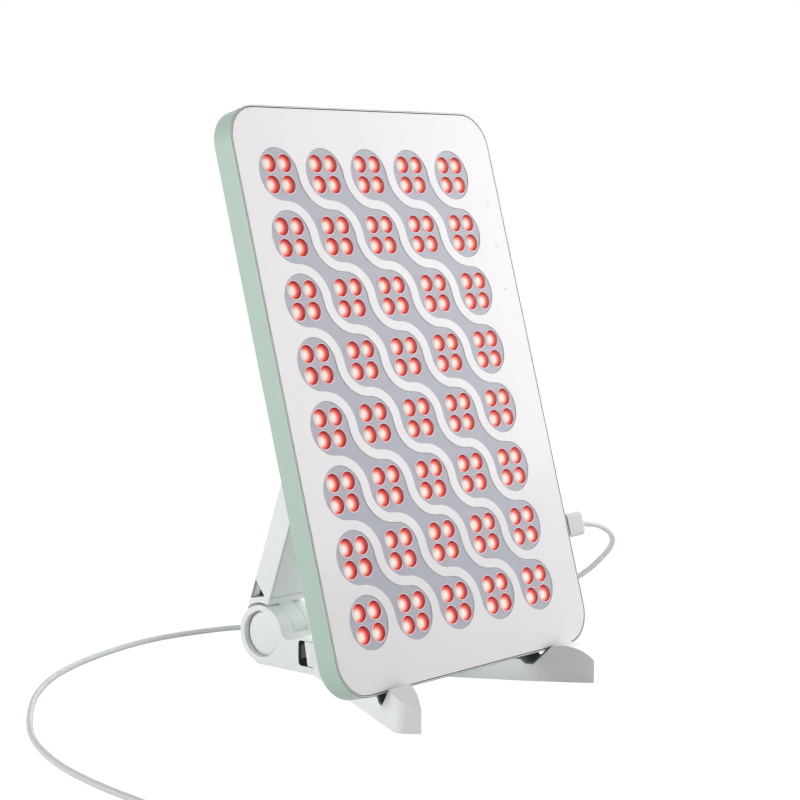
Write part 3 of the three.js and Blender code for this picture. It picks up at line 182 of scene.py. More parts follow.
def edit(piece, choose, kind="EDGE"):
    """Enters edit mode with the edges or faces selected for which choose(element) is true."""
    pick(piece)
    bpy.ops.object.mode_set(mode="EDIT")
    bpy.ops.mesh.select_mode(type=kind)
    mesh = bmesh.from_edit_mesh(piece.data)
    elements = mesh.edges if kind == "EDGE" else mesh.faces
    for element in elements:
        element.select_set(False)
    for element in elements:
        if choose(element):
            element.select_set(True)
    mesh.select_flush_mode()
    bmesh.update_edit_mesh(piece.data)


def everything(element):
    """A choice for edit() that takes each element."""
    return True


def outwards():
    """In edit mode, turns every face of the piece to look outwards."""
    bpy.ops.mesh.select_all(action="SELECT")
    bpy.ops.mesh.normals_make_consistent(inside=False)


def extrude(distance):
    """In edit mode, draws the selection out along y."""
    bpy.ops.mesh.extrude_region_move(TRANSFORM_OT_translate={"value": (0, distance, 0)})


def bevel(offset, segments):
    """In edit mode, rounds the selected edges by this radius."""
    bpy.ops.mesh.bevel(offset=offset, offset_type="OFFSET", segments=segments, affect="EDGES")


def done():
    """Leaves edit mode."""
    bpy.ops.object.mode_set(mode="OBJECT")


# %% [markdown]
# A lead is one length of something limp, so its route comes first and its shape follows. It
# leaves the plug on the panel's right side, drops behind the panel to the table, runs round
# the stand and out of the picture, and ends in a neat coil and the wall adapter. The route
# below is the model's own, and the same curve is drawn through its points.

# %% The lead's route
CORD_DIAMETER = 3.4 * MM
FIT = 0.3 * MM
COIL_CENTRE = Vector((-275, -150, 0)) * MM
COIL_OUTER, COIL_SPACING, COIL_TURNS = 25 * MM, 3.95 * MM, 6.25
LAYER_LOW = 3.05 * MM
LAYER_HIGH = LAYER_LOW + COIL_SPACING
PLUG_Z = -87.3 * MM
cord_exit = PANEL @ Vector((117.725 * MM, -PANEL_DEPTH / 2, PLUG_Z))
coil_entry = COIL_CENTRE + Vector((COIL_OUTER, 0, LAYER_LOW))
LEAD_ROUTE = [
    (125, -45.6, 76.5), (132.4, -45.5, 75.3), (140.2, -44.8, 73.5), (148.6, -43.8, 70.2),
    (156, -42, 66.1), (161.9, -38.9, 61.2), (164.8, -34.7, 55.9), (165, -30.8, 51.4),
    (164.2, -28.2, 48.6), (162, -26.2, 45.7), (159.4, -22.6, 41.9), (156.5, -19.2, 38.7),
    (147, -11.8, 32), (135, -3, 24.8), (121, 8, 16.2), (107, 27, 7), (95.5, 52, 2.3),
    (85, 84.8, 1.7), (68, 121.8, 1.7), (43.3, 151.8, 1.7), (14, 162.8, 1.7), (-20, 166.3, 1.7),
    (-63.8, 157.8, 1.7), (-104, 141.8, 1.7), (-140.3, 116.8, 1.7), (-177, 79.2, 1.7),
    (-207, 38.8, 1.7), (-227.6, -5.6, 1.7), (-237.6, -44.7, 1.7), (-242, -75.6, 1.7),
    (-246.4, -105.2, 2.1), (-249.2, -129.5, 2.8),
]
straight_in = Vector((0, CORD_DIAMETER + FIT, 0))
lead_points = [cord_exit, cord_exit + Vector((CORD_DIAMETER, 0, 0))]
lead_points += [Vector(point) * MM for point in LEAD_ROUTE]
lead_points += [coil_entry + straight_in * 2, coil_entry + straight_in]


def through(points, steps):
    """A centripetal curve through the points, with this many steps between each two."""
    ends = [points[0] * 2 - points[1], *points, points[-1] * 2 - points[-2]]
    line = []
    for a, b, c, d in zip(ends, ends[1:], ends[2:], ends[3:]):
        before, here, after = ((v - u).length ** 0.5 for u, v in ((a, b), (b, c), (c, d)))
        leave = (b - a) / before - (c - a) / (before + here) + (c - b) / here
        arrive = (c - b) / here - (d - b) / (here + after) + (d - c) / after
        leave, arrive = leave * here, arrive * here
        for i in range(steps):
            t = i / steps
            line.append(
                b * (2 * t**3 - 3 * t**2 + 1) + leave * (t**3 - 2 * t**2 + t)
                + c * (3 * t**2 - 2 * t**3) + arrive * (t**3 - t**2)
            )
    return [*line, points[-1]]


def coil_point(turn):
    """In on the lower layer and out again on the upper one, climbing at the innermost turn."""
    half = COIL_TURNS / 2
    radius = COIL_OUTER - COIL_SPACING * (half - abs(turn - half))
    climb = min(max(2 * (turn - half) + 0.5, 0), 1)
    rise = (1 - math.cos(climb * math.pi)) / 2
    angle = -turn * math.tau
    height = LAYER_LOW + (LAYER_HIGH - LAYER_LOW) * rise
    return COIL_CENTRE + Vector((radius * math.cos(angle), radius * math.sin(angle), height))


LEAD_STEPS, COIL_STEPS, TAIL_STEPS = 8, 225, 4
TAIL = 15.3 * MM
coil_line = [coil_point(COIL_TURNS * i / COIL_STEPS) for i in range(COIL_STEPS + 1)]
tail_start = coil_line[-1] + Vector((-CORD_DIAMETER, 0, 0))
tail_end = tail_start + Vector((-TAIL, 0, 0))
tail_line = [tail_start.lerp(tail_end, i / TAIL_STEPS) for i in range(TAIL_STEPS + 1)]
cord_line = through(lead_points, LEAD_STEPS) + coil_line + tail_line

# %% Sweep the lead
sweep = bpy.data.curves.new("cord", "CURVE")
sweep.dimensions = "3D"
sweep.bevel_depth = CORD_DIAMETER / 2
sweep.bevel_resolution = 3
sweep.use_fill_caps = True
spline = sweep.splines.new("POLY")
spline.points.add(len(cord_line) - 1)
for point, place in zip(spline.points, cord_line):
    point.co = (*place, 1)
lead = bpy.data.objects.new("power_lead", sweep)
bpy.context.collection.objects.link(lead)
pick(lead)
bpy.ops.object.convert(target="MESH")
lead = bpy.context.object
bpy.ops.object.shade_smooth()
print("lead faces", len(lead.data.polygons))

# %% [markdown]
# Finishes. Two effects are shared: the fine grain that a mould leaves on plastic, and the
# slow change of tone over a large plain surface. Each is a small group of nodes with its own
# inputs, so that every material sets its own scale and strength.

# %% Shared effects
def new_group(name, inputs, outputs):
    """A group of nodes with these sockets, and its two ends."""
    group = bpy.data.node_groups.new(name, "ShaderNodeTree")
    for label, kind, value in inputs:
        socket = group.interface.new_socket(label, in_out="INPUT", socket_type=kind)
        if value is not None:
            socket.default_value = value
    for label, kind in outputs:
        group.interface.new_socket(label, in_out="OUTPUT", socket_type=kind)
    return group, group.nodes.new("NodeGroupInput"), group.nodes.new("NodeGroupOutput")


FLOAT, COLOUR = "NodeSocketFloat", "NodeSocketColor"

moulded_grain, grain_in, grain_out = new_group(
    "moulded_grain",
    [("Scale", FLOAT, 1800.0), ("Strength", FLOAT, 0.2)],
    [("Height", FLOAT)],
)
place = moulded_grain.nodes.new("ShaderNodeTexCoord")
speckle = moulded_grain.nodes.new("ShaderNodeTexNoise")
speckle.inputs["Detail"].default_value = 3
strength = moulded_grain.nodes.new("ShaderNodeMath")
strength.operation = "MULTIPLY"
wire = moulded_grain.links.new
wire(place.outputs["Object"], speckle.inputs["Vector"])
wire(grain_in.outputs["Scale"], speckle.inputs["Scale"])
wire(speckle.outputs["Fac"], strength.inputs[0])
wire(grain_in.outputs["Strength"], strength.inputs[1])
wire(strength.outputs[0], grain_out.inputs["Height"])

slow_tone, tone_in, tone_out = new_group(
    "slow_tone",
    [
        ("Colour", COLOUR, (1, 1, 1, 1)), ("Shade", COLOUR, (0.9, 0.9, 0.9, 1)),
        ("Scale", FLOAT, 12.0), ("Amount", FLOAT, 0.3), ("Roughness", FLOAT, 0.4),
        ("Spread", FLOAT, 0.06),
    ],
    [("Colour", COLOUR), ("Roughness", FLOAT)],
)
place = slow_tone.nodes.new("ShaderNodeTexCoord")
cloud = slow_tone.nodes.new("ShaderNodeTexNoise")
cloud.inputs["Detail"].default_value = 4
amount = slow_tone.nodes.new("ShaderNodeMath")
amount.operation = "MULTIPLY"
blend = slow_tone.nodes.new("ShaderNodeMix")
blend.data_type = "RGBA"
swing = slow_tone.nodes.new("ShaderNodeMath")
swing.operation = "MULTIPLY_ADD"
wire = slow_tone.links.new
wire(place.outputs["Object"], cloud.inputs["Vector"])
wire(tone_in.outputs["Scale"], cloud.inputs["Scale"])
wire(cloud.outputs["Fac"], amount.inputs[0])
wire(tone_in.outputs["Amount"], amount.inputs[1])
wire(amount.outputs[0], blend.inputs["Factor"])
wire(tone_in.outputs["Colour"], blend.inputs["A"])
wire(tone_in.outputs["Shade"], blend.inputs["B"])
wire(cloud.outputs["Fac"], swing.inputs[0])
wire(tone_in.outputs["Spread"], swing.inputs[1])
wire(tone_in.outputs["Roughness"], swing.inputs[2])
wire(blend.outputs["Result"], tone_out.inputs["Colour"])
wire(swing.outputs[0], tone_out.inputs["Roughness"])
print("groups", moulded_grain.name, slow_tone.name)

# %% [markdown]
# Every plastic on the lamp is the same recipe with other values: a colour and its shade, a
# roughness, a grain and, where the surface is polished, a thin clear coat. One helper wires
# the recipe, and each material is then one short line.

# %% Plastics, rubber and metals
def srgb(red, green, blue):
    """A colour as a picture shows it, from 0 to 255, as the light values that a shader takes."""
    def linear(value):
        value /= 255
        return value / 12.92 if value <= 0.04045 else ((value + 0.055) / 1.055) ** 2.4
    return (linear(red), linear(green), linear(blue), 1)


def finish_of(name, colour, shade_colour, roughness, grain=1800, height=0.00002, coat=0.0,
              metal=0.0, amount=0.35, spread=0.06):
    """A material from its colour and shade, roughness, grain, grain height, coat and metal."""
    material = bpy.data.materials.new(name)
    material.use_nodes = True
    tree = material.node_tree
    shader = tree.nodes["Principled BSDF"]
    shader.inputs["Metallic"].default_value = metal
    shader.inputs["Coat Weight"].default_value = coat
    shader.inputs["Coat Roughness"].default_value = 0.08
    tone = tree.nodes.new("ShaderNodeGroup")
    tone.node_tree = slow_tone
    tone.inputs["Colour"].default_value = srgb(*colour)
    tone.inputs["Shade"].default_value = srgb(*shade_colour)
    tone.inputs["Roughness"].default_value = roughness
    tone.inputs["Amount"].default_value = amount
    tone.inputs["Spread"].default_value = spread
    fine = tree.nodes.new("ShaderNodeGroup")
    fine.node_tree = moulded_grain
    fine.inputs["Scale"].default_value = grain
    fine.inputs["Strength"].default_value = 1
    bump = tree.nodes.new("ShaderNodeBump")
    bump.inputs["Distance"].default_value = height
    bump.inputs["Strength"].default_value = 0.6
    tree.links.new(tone.outputs["Colour"], shader.inputs["Base Color"])
    tree.links.new(tone.outputs["Roughness"], shader.inputs["Roughness"])
    tree.links.new(fine.outputs["Height"], bump.inputs["Height"])
    tree.links.new(bump.outputs["Normal"], shader.inputs["Normal"])
    return material


mint = finish_of("mint_plastic", (176, 198, 184), (167, 190, 175), 0.38, coat=0.15)
# Painted highlight: a lighter copy of the mint for the shell's front rim, where light catches it.
painted_lit_lip = finish_of("painted_lit_lip", (224, 236, 227), (218, 231, 221), 0.34, coat=0.2)
pearl = finish_of("pearl_face", (234, 231, 233), (230, 227, 229), 0.3, coat=0.3, height=0.000004)
channel = finish_of("channel_floor", (173, 175, 187), (168, 170, 183), 0.36, height=0.000005)
mark_ink = finish_of("mark_ink", (196, 196, 200), (190, 190, 194), 0.4)
white = finish_of("white_plastic", (236, 237, 238), (228, 230, 231), 0.42)
rubber = finish_of("grey_rubber", (96, 104, 101), (84, 92, 89), 0.75, grain=900, height=0.00006)
cable = finish_of("cable_jacket", (208, 210, 211), (198, 201, 202), 0.5)
circuit = finish_of("board_lacquer", (232, 235, 236), (224, 228, 229), 0.45)
# Painted shade: a dark grey for the stand's deep recesses and the walls inside the shell's lip.
painted_shade = finish_of("painted_recess_shade", (58, 62, 61), (48, 52, 51), 0.6)
black = finish_of("socket_black", (34, 35, 38), (28, 29, 31), 0.5)
alloy = finish_of("spreader_alloy", (196, 199, 203), (186, 189, 194), 0.34, metal=1, grain=600)
steel = finish_of("hinge_steel", (170, 173, 177), (156, 160, 164), 0.28, metal=1, grain=700)
brass = finish_of("contact_brass", (206, 184, 122), (192, 168, 108), 0.3, metal=1, grain=700)
print("finishes", len(bpy.data.materials))

# %% [markdown]
# The lenses are small domes of clear red resin with a lit diode below. Their colour holds
# painted light: a painted highlight, nearly white, low and to the left on each dome, turning
# coral, and a painted shade of deep red on the far side. The domes carry their own map, centred
# on each dome, so one ramp over the distance from the highlight's spot colours all of them, and a
# second marks the pale rim.

# %% Lens resin
resin = bpy.data.materials.new("lens_resin")
resin.use_nodes = True
tree = resin.node_tree
shader = tree.nodes["Principled BSDF"]
shader.inputs["Roughness"].default_value = 0.26
shader.inputs["Specular IOR Level"].default_value = 0.04
shader.inputs["Emission Strength"].default_value = 0.3
lens_map = tree.nodes.new("ShaderNodeUVMap")
lens_map.uv_map = "dome"


def reach_from(middle):
    """The distance from a point of the dome's map, which is 0.5 at the flange's rim."""
    centred = tree.nodes.new("ShaderNodeVectorMath")
    centred.operation = "SUBTRACT"
    centred.inputs[1].default_value = middle
    reach = tree.nodes.new("ShaderNodeVectorMath")
    reach.operation = "LENGTH"
    tree.links.new(lens_map.outputs["UV"], centred.inputs[0])
    tree.links.new(centred.outputs["Vector"], reach.inputs[0])
    return reach.outputs["Value"]


def ramp_of(value, first, last, between):
    """The colour that a ramp of (position, colour) pairs gives for a value."""
    ramp = tree.nodes.new("ShaderNodeValToRGB")
    for element, (position, colour) in zip(ramp.color_ramp.elements, (first, last)):
        element.position = position
        element.color = colour
    for position, colour in between:
        ramp.color_ramp.elements.new(position).color = colour
    tree.links.new(value, ramp.inputs["Fac"])
    return ramp.outputs["Color"]


# Painted highlight: the ramp is near white round a spot left of each dome's middle, and painted
# shade turns it deep red away from that spot.
HIGHLIGHT_SPOT, DOME_MIDDLE = (0.13, 0.44, 0), (0.5, 0.5, 0)
highlight_and_shade = ramp_of(
    reach_from(HIGHLIGHT_SPOT), (0.0, srgb(255, 250, 244)), (0.76, srgb(84, 8, 16)), (
        (0.14, srgb(255, 244, 236)), (0.24, srgb(254, 210, 194)), (0.33, srgb(243, 138, 122)),
        (0.42, srgb(226, 82, 74)), (0.5, srgb(196, 48, 48)), (0.57, srgb(148, 28, 32)),
        (0.66, srgb(104, 14, 22)),
    ),
)
rim_share = ramp_of(
    reach_from(DOME_MIDDLE), (0.44, (0, 0, 0, 1)), (0.462, (1, 1, 1, 1)), (),
)
lens_colour = tree.nodes.new("ShaderNodeMix")
lens_colour.data_type = "RGBA"
mix_colours = {socket.name: socket for socket in lens_colour.inputs if socket.type == "RGBA"}
mix_colours["B"].default_value = srgb(226, 202, 208)
tree.links.new(rim_share, lens_colour.inputs["Factor"])
tree.links.new(highlight_and_shade, mix_colours["A"])
mixed_colour = next(socket for socket in lens_colour.outputs if socket.type == "RGBA")
tree.links.new(mixed_colour, shader.inputs["Base Color"])
# The painted highlight and the painted shade also feed the diodes' glow.
tree.links.new(mixed_colour, shader.inputs["Emission Color"])


def wear(piece, *materials):
    """Gives a piece its finish, in place of any that it has."""
    piece.data.materials.clear()
    for material in materials:
        piece.data.materials.append(material)
    return piece


# %% [markdown]
# The face's pattern: forty clusters in a grid, joined by channels that step down to the
# right. Each channel's outline is a circle at every cluster and, between two clusters, the
# round corner of the rib beside it. The same outline, a little smaller, makes the floor.

# %% Channel outlines
COLUMNS, ROWS = 5, 8
PITCH_X, PITCH_Z = 34 * MM, 33 * MM
FIRST_COLUMN_X = -72.625 * MM
CHANNEL_RADIUS = 13.9 * MM
FACE_THICKNESS, CHANNEL_RECESS, STRIP_THICKNESS = 2.2 * MM, 1.4 * MM, 1.2 * MM
ARC_STEPS = 9


def cluster(column, row):
    """The middle of a cluster, seen from the front."""
    return FIRST_COLUMN_X + column * PITCH_X, ((ROWS - 1) / 2 - row) * PITCH_Z


def channel_runs():
    """The clusters of each channel, from the top right to the bottom left."""
    runs = []
    for start in range(1 - COLUMNS, ROWS):
        runs.append([(c, c + start) for c in range(COLUMNS) if 0 <= c + start < ROWS])
    return runs


def quarter_arcs(centre, radius_x, radius_z, first, quarters):
    """Points round a centre, from one quarter turn over some more, backwards if negative."""
    count = ARC_STEPS * abs(quarters)
    turn = [(first + quarters * i / count) * math.pi / 2 for i in range(count)]
    return [(centre[0] + radius_x * math.cos(a), centre[1] + radius_z * math.sin(a)) for a in turn]


def channel_outline(run, inset):
    """Points round a channel, down its lower side and back up along its upper one."""
    radius = CHANNEL_RADIUS - inset
    rib_x, rib_z = PITCH_X - radius, PITCH_Z - radius
    places = [cluster(*step) for step in run]
    if len(run) == 1:
        return quarter_arcs(places[0], radius, radius, 0, 4)
    outline = quarter_arcs(places[0], radius, radius, 0, 3)
    for i in range(1, len(run)):
        outline += quarter_arcs((places[i - 1][0], places[i][1]), rib_x, rib_z, 1, -1)
        outline += quarter_arcs(places[i], radius, radius, 2, 3 if i == len(run) - 1 else 1)
    for i in range(len(run) - 2, -1, -1):
        outline += quarter_arcs((places[i + 1][0], places[i][1]), rib_x, rib_z, 3, -1)
        if i > 0:
            outline += quarter_arcs(places[i], radius, radius, 0, 1)
    return outline


def outline_block(name, outline, y_front, y_back):
    """A filled ring of points, drawn from the front and extruded to the back."""
    bpy.ops.mesh.primitive_circle_add(
        vertices=len(outline), fill_type="NGON", rotation=(math.pi / 2, 0, 0)
    )
    block = settle(bpy.context.object)
    block.name = name
    ring = sorted(block.data.vertices, key=lambda v: math.atan2(v.co.z, v.co.x) % math.tau)
    for vertex, (x, z) in zip(ring, outline):
        vertex.co = (x, y_front, z)
    edit(block, everything, "FACE")
    extrude(y_back - y_front)
    outwards()
    done()
    return block


runs = channel_runs()
print("channels", len(runs), "clusters", sum(len(run) for run in runs))

# %% [markdown]
# The panel's rear shell is a shallow tray with generous corners. It starts as a block at the
# panel's size. The four edges that run from front to back get the corner radius, the front is
# inset for the lip and pushed in for the face's seat and the hollow, and the two outer rims
# are then eased.

# %% Rear shell
LIP, SHELL_WALL, FACE_GAP = 0.8 * MM, 2.2 * MM, 0.4 * MM
CORNER, CORNER_STEPS = 19.5 * MM, 14
BACK_RIM, FRONT_RIM = 1.1 * MM, 0.35 * MM


def rounded_slab(name, width, height, y_front, y_back, corner, segments, x=0.0, z=0.0):
    """A slab seen from the front with its four corners rounded."""
    bpy.ops.mesh.primitive_cube_add(size=1)
    slab = bpy.context.object
    slab.name = name
    slab.scale = (width, y_back - y_front, height)
    slab.location = (x, (y_front + y_back) / 2, z)
    settle(slab)
    edit(slab, lambda e: abs(e.verts[0].co.y - e.verts[1].co.y) > 0.5 * (y_back - y_front))
    bevel(corner, segments)
    done()
    return slab


def is_front(face):
    """Chooses the plain front face of the slab that the shell starts as."""
    return face.normal.y < -0.99 and abs(face.calc_center_median().y + PANEL_DEPTH) < CLOSE


shell = rounded_slab(
    "panel_shell", PANEL_WIDTH, PANEL_HEIGHT, -PANEL_DEPTH, 0, CORNER, CORNER_STEPS
)
edit(shell, is_front, "FACE")
bpy.ops.mesh.inset(thickness=LIP)
extrude(FACE_THICKNESS + FIT)
bpy.ops.mesh.inset(thickness=SHELL_WALL - LIP)
extrude(PANEL_DEPTH - FACE_THICKNESS - FIT - SHELL_WALL)
done()


def outer_rim(y):
    """Chooses edges at this depth that border the slab's outer side wall."""
    def choose(edge):
        flat = all(abs(v.co.y - y) < CLOSE for v in edge.verts)
        return flat and any(
            abs(f.normal.y) < 0.01
            and max(abs(v.co.y) for v in f.verts) > PANEL_DEPTH * 0.9
            and min(abs(v.co.y) for v in f.verts) < PANEL_DEPTH * 0.15
            for f in edge.link_faces
        )
    return choose


for depth, radius, steps in ((0, BACK_RIM, 4), (-PANEL_DEPTH, FRONT_RIM, 2)):
    edit(shell, outer_rim(depth))
    bevel(radius, steps)
    done()
print("shell faces", len(shell.data.polygons))

# %% [markdown]
# Openings of the shell: two groups of vent slots, four screw holes with their counterbores,
# and the round hole for the socket. Each is one simple cutter, copied along its row, and all
# are taken away at once.

# %% Vents, screw holes and socket hole
SCREW_X, SCREW_Z = 79.125 * MM, 142 * MM
HOLE_RADIUS, SINK_RADIUS, SINK_DEPTH = 1.8 * MM, 3.4 * MM, 1.3 * MM
SOCKET_HOLE_RADIUS, SOCKET_HOLE_FROM, SOCKET_HOLE_TO = 3.7 * MM, 90 * MM, 110 * MM
VENT_LENGTH, VENT_WIDTH, VENT_ROUND = 26 * MM, 2.8 * MM, 1.39 * MM
VENT_X, VENT_TOP, VENT_PITCH, VENT_COUNT = 57.125 * MM, 96, 7, 6
CUT_FROM, CUT_TO = -4 * MM, 2 * MM
SMALL_SIDES, SOCKET_SIDES = 24, 32


def rod(name, radius, start, end, sides):
    """A round bar from one point to another."""
    way = end - start
    bpy.ops.mesh.primitive_cylinder_add(vertices=sides, radius=radius, depth=way.length)
    bar = bpy.context.object
    bar.name = name
    way_round = way.to_track_quat("Z", "Y").to_matrix().to_4x4()
    bar.matrix_world = Matrix.Translation((start + end) / 2) @ way_round
    return settle(bar)


def along_y(name, radius, x, z, y_from, y_to):
    """A round bar that runs from front to back."""
    return rod(name, radius, Vector((x, y_from, z)), Vector((x, y_to, z)), SMALL_SIDES)


def along_x(name, radius, x_from, x_to, sides):
    """A round bar on the line of the socket and the plug."""
    ends = (Vector((x, -PANEL_DEPTH / 2, PLUG_Z)) for x in (x_from, x_to))
    return rod(name, radius, *ends, sides)


cutters = []
for side in (-1, 1):
    for row in range(VENT_COUNT):
        height = (VENT_TOP - VENT_PITCH * row) * MM
        cutters.append(rounded_slab(
            "vent", VENT_LENGTH, VENT_WIDTH, CUT_FROM, CUT_TO, VENT_ROUND, 5, side * VENT_X, height
        ))
screw_places = [(x, z) for x in (-SCREW_X, SCREW_X) for z in (-SCREW_Z, SCREW_Z)]
for x, z in screw_places:
    cutters.append(along_y("hole", HOLE_RADIUS, x, z, CUT_FROM, CUT_TO))
    cutters.append(along_y("sink", SINK_RADIUS, x, z, -SINK_DEPTH, CUT_TO))
cutters.append(
    along_x("socket_hole", SOCKET_HOLE_RADIUS, SOCKET_HOLE_FROM, SOCKET_HOLE_TO, SOCKET_SIDES)
)
for cutter in cutters:
    cut(shell, cutter)
# The shell's plain front rim wears the painted highlight, and the walls inside its lip and round
# the face's seat wear painted shade.
wear(shell, mint, painted_lit_lip, painted_shade)
for side in shell.data.polygons:
    middle = side.center
    if side.normal.y < -0.99 and middle.y < -PANEL_DEPTH + CLOSE:
        side.material_index = 1
    elif middle.y > -PANEL_DEPTH + CLOSE and side.normal.y < 0.5:
        inwards = side.normal.x * middle.x + side.normal.z * middle.z < 0
        if side.normal.y < -0.5 or inwards:
            side.material_index = 2
shade(settle(shell, PANEL), 28)
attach(shell, "panel")
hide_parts("rear_shell")
print("shell faces with openings", len(shell.data.polygons))

# %% [markdown]
# The face is one plate with the twelve channels cut through it. It is cut after its corners
# are rounded, and the rims of the plate and of the channels are eased last, so that each
# catches a thin line of light.

# %% Face plate
FACE_RIM, BOSS_RADIUS, BOSS_END = 0.25 * MM, 3.5 * MM, -2.5 * MM
CHANNEL_CUT_FROM, CHANNEL_CUT_TO = -PANEL_DEPTH - 2 * MM, -PANEL_DEPTH + 4 * MM

face = rounded_slab(
    "panel_face",
    PANEL_WIDTH - 2 * (LIP + FACE_GAP),
    PANEL_HEIGHT - 2 * (LIP + FACE_GAP),
    -PANEL_DEPTH,
    -PANEL_DEPTH + FACE_THICKNESS,
    CORNER - LIP - FACE_GAP,
    CORNER_STEPS,
)
channel_cutters = [
    outline_block("channel", channel_outline(run, 0), CHANNEL_CUT_FROM, CHANNEL_CUT_TO)
    for run in runs
]
cut(face, glue("channels", channel_cutters))
round_edges(face, FACE_RIM, 2, 50)
for x, z in screw_places:
    boss = along_y("boss", BOSS_RADIUS, x, z, -PANEL_DEPTH + FACE_THICKNESS - FIT, BOSS_END)
    glue("panel_face", [face, boss])
shade(settle(face, PANEL), 30)
wear(face, pearl)
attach(face, "panel")
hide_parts("face_plate")
print("face faces", len(face.data.polygons))

# %% [markdown]
# One dome is modelled and copied to every place. It is a sphere cut at its waist, pressed
# to the lens's height, with a thin pale flange round its foot, and mapped from the front, so
# that the resin's colours follow its shape.

# %% Lens dome
DOME_RADIUS, DOME_HEIGHT, DOME_SPACING = 4.75 * MM, 1.38 * MM, 11.2 * MM
FLANGE_RADIUS = 5.25 * MM
FLANGE_HEIGHT = 0.12 * MM
FLOOR_DEPTH = 0.3 * MM
STRIP_FRONT = -PANEL_DEPTH + FLOOR_DEPTH

bpy.ops.mesh.primitive_uv_sphere_add(segments=16, ring_count=8, radius=1)
pattern = bpy.context.object
edit(pattern, everything, "FACE")
bpy.ops.mesh.bisect(plane_co=(0, 0, 0), plane_no=(0, 0, 1), clear_inner=True)
done()
pattern.rotation_euler = (math.pi / 2, 0, 0)
pattern.scale = (DOME_RADIUS, DOME_RADIUS, DOME_HEIGHT)
settle(pattern)
edit(pattern, lambda edge: all(abs(v.co.y) < HAIR for v in edge.verts))
flare = FLANGE_RADIUS / DOME_RADIUS
extrude(0)
bpy.ops.transform.resize(value=(flare, 1, flare), center_override=(0, 0, 0))
extrude(FLANGE_HEIGHT)
outwards()
done()
for layer in list(pattern.data.uv_layers):
    pattern.data.uv_layers.remove(layer)
dome_map = pattern.data.uv_layers.new(name="dome")
for loop in pattern.data.loops:
    spot = pattern.data.vertices[loop.vertex_index].co
    across, up = (0.5 + reach / (2 * FLANGE_RADIUS) for reach in (spot.x, spot.z))
    dome_map.data[loop.index].uv = (across, up)
wear(pattern, resin)
pick(pattern)
bpy.ops.object.shade_smooth_by_angle(angle=math.radians(50))
print("dome faces", len(pattern.data.polygons))

# %% [markdown]
# Each strip is a channel's floor with its domes. The floor has the channel's own outline, a
# little smaller, and the domes stand on it in fours at every step of the channel.

# %% Lens strips
STRIP_GAP = 0.1 * MM
STRIP_BACK = -PANEL_DEPTH + CHANNEL_RECESS + STRIP_THICKNESS
DOME_PLACES = [(x, z) for x in (-0.5, 0.5) for z in (-0.5, 0.5)]

for number, run in enumerate(runs, 1):
    floor = outline_block("floor", channel_outline(run, STRIP_GAP), STRIP_FRONT, STRIP_BACK)
    wear(floor, channel)
    floor.data.uv_layers.new(name="dome")
    shade(floor, 30)
    parts = [floor]
    for column, row in run:
        x, z = cluster(column, row)
        for side_x, side_z in DOME_PLACES:
            dome = pattern.copy()
            dome.data = pattern.data.copy()
            dome.location = (x + side_x * DOME_SPACING, STRIP_FRONT - FLANGE_HEIGHT,
                             z + side_z * DOME_SPACING)
            bpy.context.collection.objects.link(dome)
            parts.append(dome)
    strip = glue(f"lens_channel_{number:02d}", parts)
    settle(strip, PANEL)
    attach(strip, "panel")
    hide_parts(f"lens_strip_{number:02d}")
bpy.data.objects.remove(pattern)
print("lens strips", len(runs))

# %% [markdown]
# The stand's mouldings already have their real outlines in the model. A copy of each is
# merged, its flat faces are made whole again, and its edges are rounded as a mould needs.

# %% Mouldings of the stand
MERGE_WITHIN = 0.000004
FLAT_WITHIN = math.radians(0.6)


def moulding(node, name, width, material, segments=2, sharper_than=35):
    """A copy of a model piece with whole faces and rounded edges, in place of the piece."""
    source = nodes[node]
    copy = source.copy()
    copy.data = source.data.copy()
    copy.parent = None
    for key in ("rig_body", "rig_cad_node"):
        if key in copy:
            del copy[key]
    copy.name = name
    bpy.context.collection.objects.link(copy)
    copy.matrix_world = Matrix.Identity(4)
    edit(copy, everything, "FACE")
    bpy.ops.mesh.remove_doubles(threshold=MERGE_WITHIN)
    bpy.ops.mesh.dissolve_limited(angle_limit=FLAT_WITHIN)
    done()
    if width > 0:
        round_edges(copy, width, segments, sharper_than)
    shade(copy, 40)
    wear(copy, material)
    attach(copy, source["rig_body"])
    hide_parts(node)
    return copy


hinge_block = moulding("base_block", "hinge_block", 0.5 * MM, white)
arm_housing = moulding("arm_shell", "arm_housing", 0.0, white)
moulding("arm_cover", "arm_lid", 0.25 * MM, white)
for side in ("left", "right"):
    moulding(f"leg_{side}", f"leg_moulding_{side}", 0.6 * MM, white, 3)
    moulding(f"notch_pad_{side}", f"notch_lining_{side}", 0.2 * MM, rubber)
    moulding(f"hinge_cap_{side}", f"hinge_cover_{side}", 0.3 * MM, white, 2, 20)
    moulding(f"leg_foot_{side}", f"leg_sole_{side}", 0.2 * MM, rubber)
    moulding(f"rear_foot_{side}", f"rear_sole_{side}", 0.2 * MM, rubber)
moulding("arm_head_pad", "arm_bumper", 0.3 * MM, rubber)
moulding("adapter_body", "wall_adapter", 1.2 * MM, white, 3)
moulding("adapter_relief", "adapter_strain_relief", 0.3 * MM, cable)
moulding("coil_tie", "tie_band", 0.15 * MM, rubber)

# %% [markdown]
# The plug's housing is a short block with rounded corners, its flat front side in view. It
# starts as a block, gets its long edges and then its end rims rounded, and ends in a thin
# collar round the lead.

# %% Plug housing
PLUG_START, PLUG_END = 102.225 * MM, 116.725 * MM
PLUG_DEEP, PLUG_HIGH, PLUG_ROUND = 14 * MM, 13.8 * MM, 2.6 * MM
OUTER_RIM, INNER_RIM = 1.5 * MM, 0.4 * MM
COLLAR_RADIUS, COLLAR_SINK, COLLAR_LENGTH, COLLAR_RIM = 2.3 * MM, 0.5 * MM, 1 * MM, 0.4 * MM

